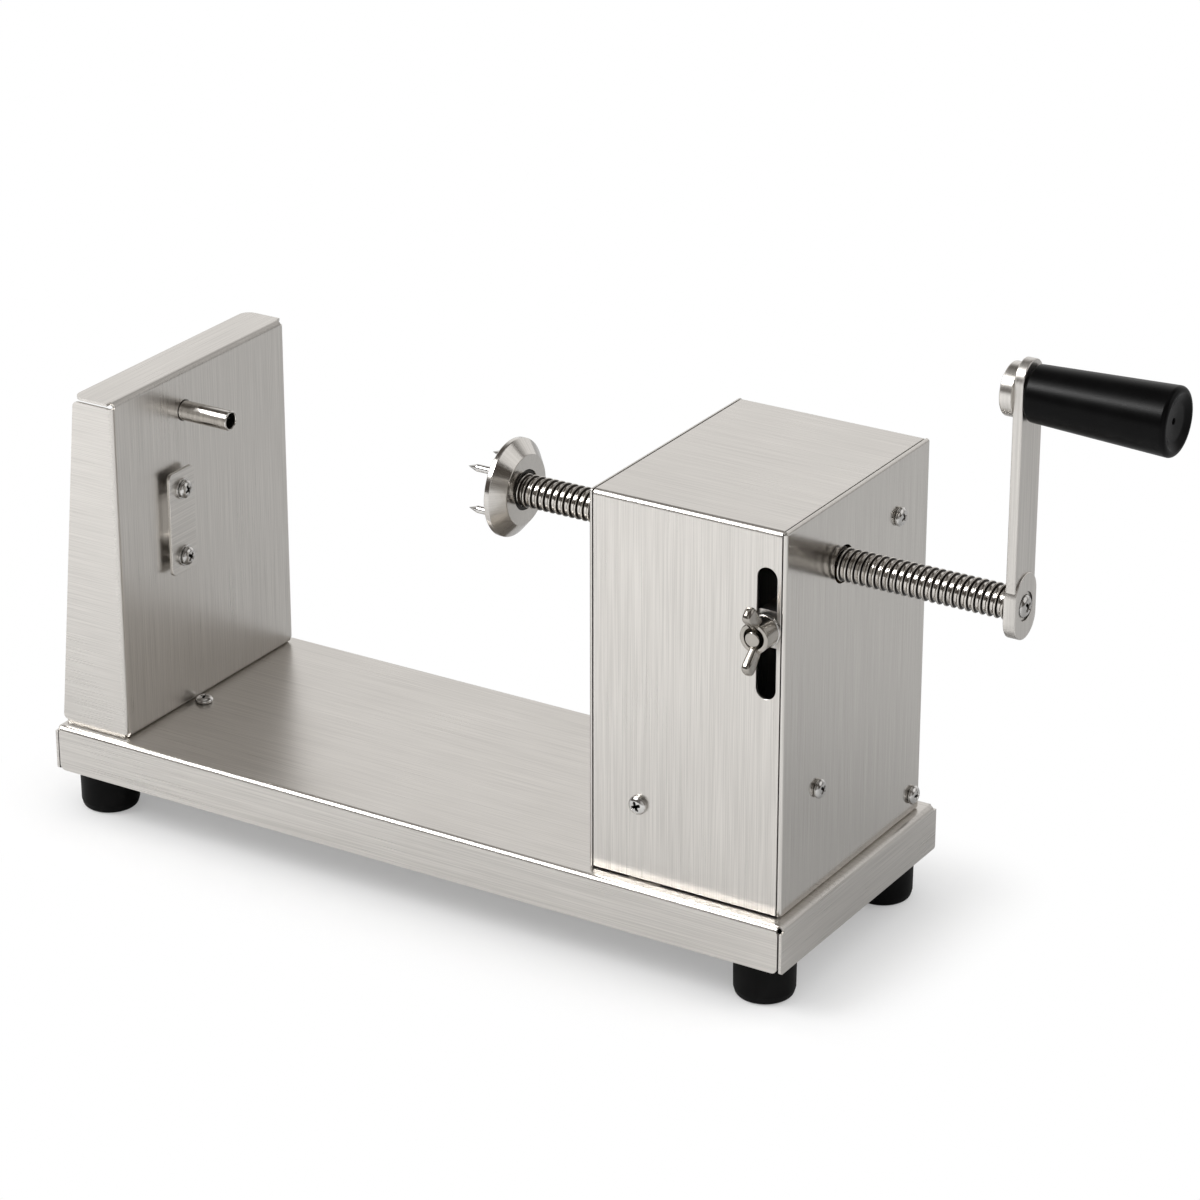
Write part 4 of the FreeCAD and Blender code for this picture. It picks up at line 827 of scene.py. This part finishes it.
# Lead screw: radii of the crest, the left spigot and its socket, and the socket's depth; what the thread
# leaves free at the ends, and its chamfer; flat and flank as shares of half a pitch, run-out of a pitch.
CREST, SPIGOT, SOCKET, SOCKET_DEPTH = 6.75, 5.0, 3.5, 32.0
LEFT_END, RIGHT_END, CHAMFER = 5.4, 2.4, 0.8
FLAT, FLANK, RUN_OUT = 0.1, 0.6, 0.8
DISC = (
    (0, 0, SPIGOT, 0), (0, 0, 20.1, 0.5), (0, 2.2, 20.1, 0.5), (1, 0, 14.4, 0.9), (1, 0, 8.3, 0.25),
    (1, -1.4, 8.3, 0.1), (1, -1.4, SPIGOT, 0), (0, 0, SPIGOT, 0),
)
PRONG = ((0, 0, 0, 0), (0, 0, 1.5, 0), (0, 10, 1.5, 0.6), (0, 14, 0.08, 0.05), (0, 14, 0, 0))
PRONG_CIRCLE = 12.5


def thread(pitch, depth, across=16, around=64):
    """The lead screw. The points of its thread lie at x = left + pitch * (i / across + t / 2 pi - 1), held
    between the ends, on the crest's radius less depth * s^2 (3 - 2s), where s grows from 0 to 1 while
    |2u - 1| grows from 0.1 to 0.7 and u is the share of the pitch; the depth fades to nothing at both
    ends. A spigot with a socket for the skewer closes its left end."""
    start, left, right = SCREW_LOW[0], SCREW_LOW[0] + LEFT_END, SCREW_HIGH[0] - RIGHT_END
    turns = math.ceil((right - left) / pitch) + 2
    t = np.linspace(0, 2 * np.pi, around + 1)
    steps = np.arange(turns * across + 1) / across
    x = np.clip(left - pitch + pitch * (steps[:, None] + t / (2 * np.pi)), left, right)
    groove = depth * fade(np.abs(2 * np.mod(steps, 1.0) - 1) - FLAT, FLANK)
    r = CREST - groove[:, None] * fade(x - left, RUN_OUT * pitch) * fade(right - x, RUN_OUT * pitch)
    r -= CHAMFER * np.clip(1 - np.minimum(x - left, right - x) / CHAMFER, 0, 1)
    points = np.stack([x, AXIS[1] + r * np.sin(t), AXIS[2] + r * np.cos(t)], -1)
    neck, floor = CREST - CHAMFER, start + SOCKET_DEPTH
    foot = [(left, neck), (left, SPIGOT), (start, SPIGOT), (start, SOCKET), (floor, SOCKET), (floor, 0)]
    lines = rounded(foot, [0, 0, 0.4, 0.4, 0, 0], 3), [(right, neck), (right, 0)]
    return [surface(points), *(turned(line, on_axis(0), X, around) for line in lines)]


class CUTTER_OT_feed(bpy.types.Operator):
    """Makes the lead screw, the pusher with its prongs and the loose washer"""

    bl_idname = "cutter.feed"
    bl_label = "Lead screw and pusher"

    def execute(self, context):
        depth = sizes().thread_depth
        polish = kept("thread_steel", threaded_steel, POLISHED, CREST, depth)
        made("thread", thread(sizes().thread_pitch, depth), "lead_screw", polish, "crank")
        sheen = kept("pusher_steel", turned_steel, AXIS, roughness=0.16, tone=0.95, spoke=60.0)
        disc = lathe(DISC, *span("pusher_disc"), segments=128)
        made("pusher", [disc], "pusher_disc", sheen, "crank")
        start, length = span("pusher_prongs")
        angles = np.pi / 2 * (np.arange(4) + 0.5)
        roots = [start + (length, PRONG_CIRCLE * math.sin(a), PRONG_CIRCLE * math.cos(a)) for a in angles]
        prongs = [lathe(PRONG, root, 0, -X, 32, 4) for root in roots]
        made("prongs", prongs, "pusher_prongs", body="crank")
        ring = washer(*span("feed_washer"), outer=8.2, inner=6.85, edge=0.15)
        made("loose_washer", [ring], "feed_washer", black_steel_and_painted_shade(), body="feed")
        return {"FINISHED"}


# ---- crank

# Arm: half its width, its thickness and edges, how far it runs below the axis. Lug: half its width and
# height, its edges, the depth and radius of its well, how far its knife rises and where shade is painted
# in the well. Crank screw: radius and height of the head, radius and length of the shank, how far it is
# turned, and where shade is painted in its recess.
ARM_HALF, ARM_SHEET, ARM_BELOW = 8.2, (4.0, 0.45, 0.45), 12.8
LUG_HALF, LUG_EDGES = (8.75, 13.2), (0.3, 0.5)
WELL, WELL_RADIUS, WELL_KNIFE, WELL_SHADE = 1.8, 5.7, 3.0, (5.9, -1.9, -0.15)
CRANK_SCREW, SCREW_SHADE = (4.5, 3.0, 2.5, 3.0, 0.8), (2.7, ABOVE_SEAT, 2.1)
PIN_HEAD = 5.0
PIN = (
    (0, 0, 0, 0), (0, 0, 10.3, 0.7), (0, PIN_HEAD, 10.3, 0.1), (0, PIN_HEAD, 4, 0), (1, 0, 4, 0.4),
    (1, 0, 0, 0),
)
GRIP = (
    (0, 0, 4.06, 0), (0, 0, 10.8, 1.4), (1, 0, 13.32, 1.9), (1, 0, 10.9, 0.25), (1, -1.5, 7.6, 4),
    (1, -2.1, 1.2, 0.3), (1, -5, 1.2, 0), (1, -5, 0, 0),
)


class CUTTER_OT_crank(bpy.types.Operator):
    """Makes the crank arm, its screw, the headed pin and the grip"""

    bl_idname = "cutter.crank"
    bl_label = "Crank"

    def execute(self, context):
        top, bottom, outer = ARM_HIGH[2], AXIS[2] - ARM_BELOW, ARM_HIGH[0]
        outline, levels = obround(ARM_HALF, (top - bottom) / 2, ARM_HALF, 16), edge_levels(*ARM_SHEET)
        bar = slab(outline, levels, (PIN_LOW[0] + PIN_HEAD, AXIS[1], (top + bottom) / 2))
        outline, levels = obround(*LUG_HALF, LUG_HALF[0], 16), edge_levels(outer - ARM_LOW[0], *LUG_EDGES)
        lug = slab(outline, levels, on_axis(ARM_LOW[0]))
        finish = sheet_steel("arm_steel", "ZZY", tone=0.95)
        made("arm_bar", [bar], "crank_arm", finish, "crank")
        well = bore(WELL_RADIUS, outer, 64, WELL, WELL_KNIFE)
        arm = made("arm_lug", [lug], "crank_arm", finish, "crank", cuts=[well], edge=EASED)
        # Shade painted into the lug's well.
        paint_shade(arm, [(on_axis(outer), X)], *WELL_SHADE)
        seat = on_axis(outer - WELL)
        obj = made("arm_screw", screw(seat, X, *CRANK_SCREW), "crank_screw", body="crank")
        # Shade painted into the crank screw's recess.
        paint_shade(obj, [(seat, X)], *SCREW_SHADE)
        start, length = span("grip_pin", GRIP_AXIS)
        polish = kept("pin_steel", turned_steel, start, roughness=0.26)
        made("pin", [lathe(PIN, start, length)], "grip_pin", polish, "crank")
        look = {"roughness": 0.31, "speckle": 2600.0, "depth": 0.005, "dust": 0.004}
        black = kept("grip_black", moulded, finishes().grip_colour, **look)
        shell = lathe(GRIP, *span("grip", GRIP_AXIS), segments=128, steps=8)
        made("grip_shell", [shell], "grip", black, "handle")
        return {"FINISHED"}


# ---- clamp

# A wing's root and tip from the seat, half its width and thickness at the root with their growth, and
# the powers that square its ring and close its ends.
WING_ROOT, WING_TIP = (0, -3.6, 2.8), (0, -13.4, 12.6)
WING_WIDE, WING_THICK, SQUARED, CLOSED = (2.6, 0.9), (1.7, 0.5), 0.6, 6
HUB = (
    (0, 0, 3.05, 0), (0, 0, 6.2, 0.3), (0, 8, 6.1, 0.6), (0, 8, 4.2, 0.4), (0, 5.5, 4.1, 0),
    (0, 5.5, 3.05, 0), (0, 0, 3.05, 0),
)
STUD = ((0, 0, 0, 0), (0, 0, 3, 0), (0, 24.5, 3, 0.5), (0, 24.5, 0, 0))


def wing(seat, sign):
    """One plump wing of the nut: a ring, squared by taking the 0.6th power of its sine and cosine, is
    carried from the hub to the tip, its half width growing from 2.6 to 3.5 and its half thickness from
    1.7 to 2.2, and both close as the root of 1 - |s|^6."""
    s = np.sin(np.linspace(-1, 1, 40) * np.pi / 2)
    t = np.linspace(0, 2 * np.pi, 40, endpoint=False)
    root, tip = np.array([WING_ROOT, WING_TIP]) * (1, 1, sign)
    share = (s + 1) / 2
    line = root + (tip - root) * share[:, None]
    across = np.cross((tip - root) / np.linalg.norm(tip - root), X)
    close = np.sqrt(1 - np.abs(s) ** CLOSED)
    wide, thick = ((low + more * share) * close for low, more in (WING_WIDE, WING_THICK))
    u, v = (np.sign(wave) * np.abs(wave) ** SQUARED for wave in (np.cos(t), np.sin(t)))
    ring = (wide[:, None] * u)[..., None] * across + (thick[:, None] * v)[..., None] * X
    return surface(seat + line[:, None] + ring, around=True)


class CUTTER_OT_clamp(bpy.types.Operator):
    """Makes the clamp's washer, wing nut and stud"""

    bl_idname = "cutter.clamp"
    bl_label = "Clamp"

    def execute(self, context):
        low, high = box("clamp_washer")
        ring = washer(on_stud(high[1]), high[1] - low[1], outer=6.5, inner=3.05, edge=0.3, axis=-Y)
        made("clamp_ring_washer", [ring], "clamp_washer", body="clamp_ring")
        seat = on_stud(low[1])
        nickel = kept("nut_steel", plain_metal, NICKEL, roughness=0.2)
        parts = [lathe(HUB, seat, 0, -Y), wing(seat, 1), wing(seat, -1)]
        made("wing_nut_body", parts, "wing_nut", nickel, body="clamp_nut")
        stud = lathe(STUD, on_stud(STUD_HIGH[1]), 0, -Y, 64)
        made("stud", [stud], "clamp_stud", nickel, body="carriage")
        return {"FINISHED"}


# ---- feet and inner parts

FOOT = (
    (0, 12, 0, 0), (0, 12, 5.5, 0.3), (0, 0, 5.5, 0.4), (0, 0, 11.4, 2.2), (0, 3.4, 12.35, 2),
    (1, 0, 12.7, 0.5), (1, 0, 0, 0),
)


class CUTTER_OT_feet(bpy.types.Operator):
    """Makes the four rubber feet"""

    bl_idname = "cutter.feet"
    bl_label = "Feet"

    def execute(self, context):
        look = {"roughness": 0.5, "speckle": 1800.0, "depth": 0.01, "dust": 0.008}
        rubber = kept("foot_rubber", moulded, finishes().rubber_colour, **look)
        for node in ("foot_front_left", "foot_front_right", "foot_rear_left", "foot_rear_right"):
            low, high = box(node)
            x, y, _ = (low + high) / 2
            foot = lathe(FOOT, (x, y, low[2]), (high - low)[2], Z, 96, 6)
            made(node + "_rubber", [foot], node, rubber)
        return {"FINISHED"}


class CUTTER_OT_inner(bpy.types.Operator):
    """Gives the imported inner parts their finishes"""

    bl_idname = "cutter.inner"
    bl_label = "Inner parts"

    def execute(self, context):
        brass = kept("bearing_brass", plain_metal, finishes().brass_colour, roughness=0.28)
        for finish, nodes in (
            (sheet_steel("inner_steel", "ZZX", tone=0.75), "drive_chassis nut_guide nut_carriage"),
            (brass, "bush_left bush_right half_nut"),
            (fastener_steel(), "foot_bolts foot_nuts tray_nuts blade_nuts panel_nuts cover_nuts grip_clip"),
        ):
            for node in nodes.split():
                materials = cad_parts[node].data.materials
                materials.clear()
                materials.append(finish)
        return {"FINISHED"}


# ---- stage

# Places and widths of the lamps in metres, and what they look at. Camera: place, turn, tilt and lens.
LAMPS = {"key": ((-1.5, -1.2, 2.0), 1.6), "fill": ((1.9, 0.9, 1.2), 1.8), "glint": ((-0.9, -1.2, 1.55), 0.6)}
AIM = (0, 0, 0.1)
CAMERA_PLACE, AZIMUTH, ELEVATION = (0.8790, -1.3413, 0.8100), math.radians(31.58), math.radians(23.53)
LENS, SENSOR = 129.36, 36.0
WHITE, ROOM_LIGHT, ROOM_DARK = (1.0, 1.0, 1.0, 1.0), (1.0, 0.99, 0.98, 1.0), (0.075, 0.063, 0.053, 1.0)
AROUND = (0.86, 0.86, 0.86, 1.0)
FLOOR_HALF = 12000.0


class CUTTER_OT_stage(bpy.types.Operator):
    """Makes the floor, the lamps, the world and the camera"""

    bl_idname = "cutter.stage"
    bl_label = "Stage"

    def execute(self, context):
        studio = context.scene.cutter_studio
        self.floor(studio)
        self.world()
        for name, (place, width) in LAMPS.items():
            self.lamp(name, place, width, getattr(studio, name + "_power"))
        self.camera()
        context.scene.view_settings.view_transform = "Standard"
        return {"FINISHED"}

    def floor(self, studio):
        """Pale paper. To the camera it is white but for a share of the shadow within 50 mm of the tray; in the
        metal's gloss it carries painted shade: darker behind the cutter and a little darker close to its
        front."""
        corner, side = np.array([-FLOOR_HALF, -FLOOR_HALF, 0]), 2 * FLOOR_HALF
        mesh = mesh_of("floor", [flat(corner, side * X, side * Y)], Z)
        finish = Finish("floor_paper")
        spot = finish.coordinates()
        x, y, _ = finish.split(spot)
        # Painted shade seen only in gloss: the paper's colour darkens behind the cutter and close to its
        # front.
        behind = (x * 0.3 + y * 0.95).ramp(-0.04, 0.16)
        painted_floor_shade = behind + (1 - behind) * y.ramp(-0.45, -0.1) * 0.36
        beyond = finish.vector("SUBTRACT", finish.vector("ABSOLUTE", spot), tuple(TRAY_HIGH * (MM, MM, 0)))
        beyond = finish.vector("MAXIMUM", beyond, (0, 0, 0))
        far = finish.vector("LENGTH", beyond, out="Value").ramp(0, 0.05)
        pale = (*studio.floor_colour, 1.0)
        paper = finish.node("BsdfPrincipled", {}, {
            "Base Color": finish.mix(finish.ray("Glossy") * painted_floor_shade, pale, shade_of(pale, 0.58)),
            "Roughness": varied(0.9, (finish.noise(spot, scale=900.0), 0.1)), "Specular IOR Level": 0.0,
        })
        white = finish.node("Emission", {}, {"Color": WHITE, "Strength": 1.0})
        share = (finish.ray("Camera") + finish.ray("Transmission")) * (1 - (1 - far) * studio.shadow)
        mixed = finish.node("MixShader", {}, {0: share, 1: paper, 2: white})
        finish.node("OutputMaterial", {}, {"Surface": mixed})
        mesh.materials.append(finish.material)
        placed("floor", mesh)

    def world(self):
        """White to the camera and pale grey to matt faces. The gloss sees a dark room with a light back
        wall, a half light front corner on the crank's side and a dim light overhead."""
        world = bpy.data.worlds.new("studio")
        bpy.context.scene.world = world
        finish = Finish("studio", world)
        x, y, z = finish.split(finish.coordinates("Generated"))
        wall = (y * 0.9 - x * 0.5).ramp(0.25, 0.7)
        corner = x.ramp(0.1, 0.45) * (y * -1).ramp(0.2, 0.5) * 0.5
        overhead = z.ramp(0.87, 0.95) * 0.4
        bright = (wall + corner) * (1 - z.ramp(0.5, 0.8)) + overhead
        colour = finish.mix(finish.ray("Glossy"), AROUND, finish.mix(bright, ROOM_DARK, ROOM_LIGHT))
        colour = finish.mix(finish.ray("Camera") + finish.ray("Transmission"), colour, WHITE)
        sky = finish.node("Background", {}, {"Color": colour, "Strength": 1.0})
        finish.node("OutputWorld", {}, {"Surface": sky})

    def lamp(self, name, place, width, power):
        """A round lamp that looks at the cutter. The glint only shines in gloss."""
        light = bpy.data.lights.new(name, "AREA")
        light.shape, light.size, light.energy = "DISK", width, power
        placed(name, light, place, Vector(AIM) - Vector(place)).visible_diffuse = name != "glint"

    def camera(self):
        """Looks along (-sin a cos e, cos a cos e, -sin e) for the azimuth a and the elevation e."""
        level = math.cos(ELEVATION)
        way = Vector((-math.sin(AZIMUTH) * level, math.cos(AZIMUTH) * level, -math.sin(ELEVATION)))
        lens = bpy.data.cameras.new("camera")
        lens.lens, lens.sensor_width = LENS, SENSOR
        bpy.context.scene.camera = placed("camera", lens, CAMERA_PLACE, way)


MAKERS = (
    CUTTER_OT_tray, CUTTER_OT_stand, CUTTER_OT_housing, CUTTER_OT_screws, CUTTER_OT_blade, CUTTER_OT_feed,
    CUTTER_OT_crank, CUTTER_OT_clamp, CUTTER_OT_feet, CUTTER_OT_inner, CUTTER_OT_stage,
)


class CUTTER_PT_panel(bpy.types.Panel):
    """The cutter's settings and makers"""

    bl_label = "Potato cutter"
    bl_idname = "CUTTER_PT_panel"
    bl_space_type = "VIEW_3D"
    bl_region_type = "UI"
    bl_category = "Cutter"

    def draw(self, context):
        for group in (context.scene.cutter_sizes, context.scene.cutter_finishes, context.scene.cutter_studio):
            column = self.layout.column()
            for name in group.__annotations__:
                column.prop(group, name)
        for maker in MAKERS:
            self.layout.operator(maker.bl_idname)


GROUPS = {"cutter_sizes": CutterSizes, "cutter_finishes": CutterFinishes, "cutter_studio": CutterStudio}


def register():
    for kind in (*GROUPS.values(), *MAKERS, CUTTER_PT_panel):
        bpy.utils.register_class(kind)
    for name, group in GROUPS.items():
        setattr(bpy.types.Scene, name, bpy.props.PointerProperty(type=group))


def unregister():
    for name in GROUPS:
        delattr(bpy.types.Scene, name)
    for kind in reversed((*GROUPS.values(), *MAKERS, CUTTER_PT_panel)):
        bpy.utils.unregister_class(kind)


def main():
    register()
    for maker in MAKERS:
        getattr(bpy.ops.cutter, maker.bl_idname.split(".")[1])()


if __name__ == "__main__":
    main()
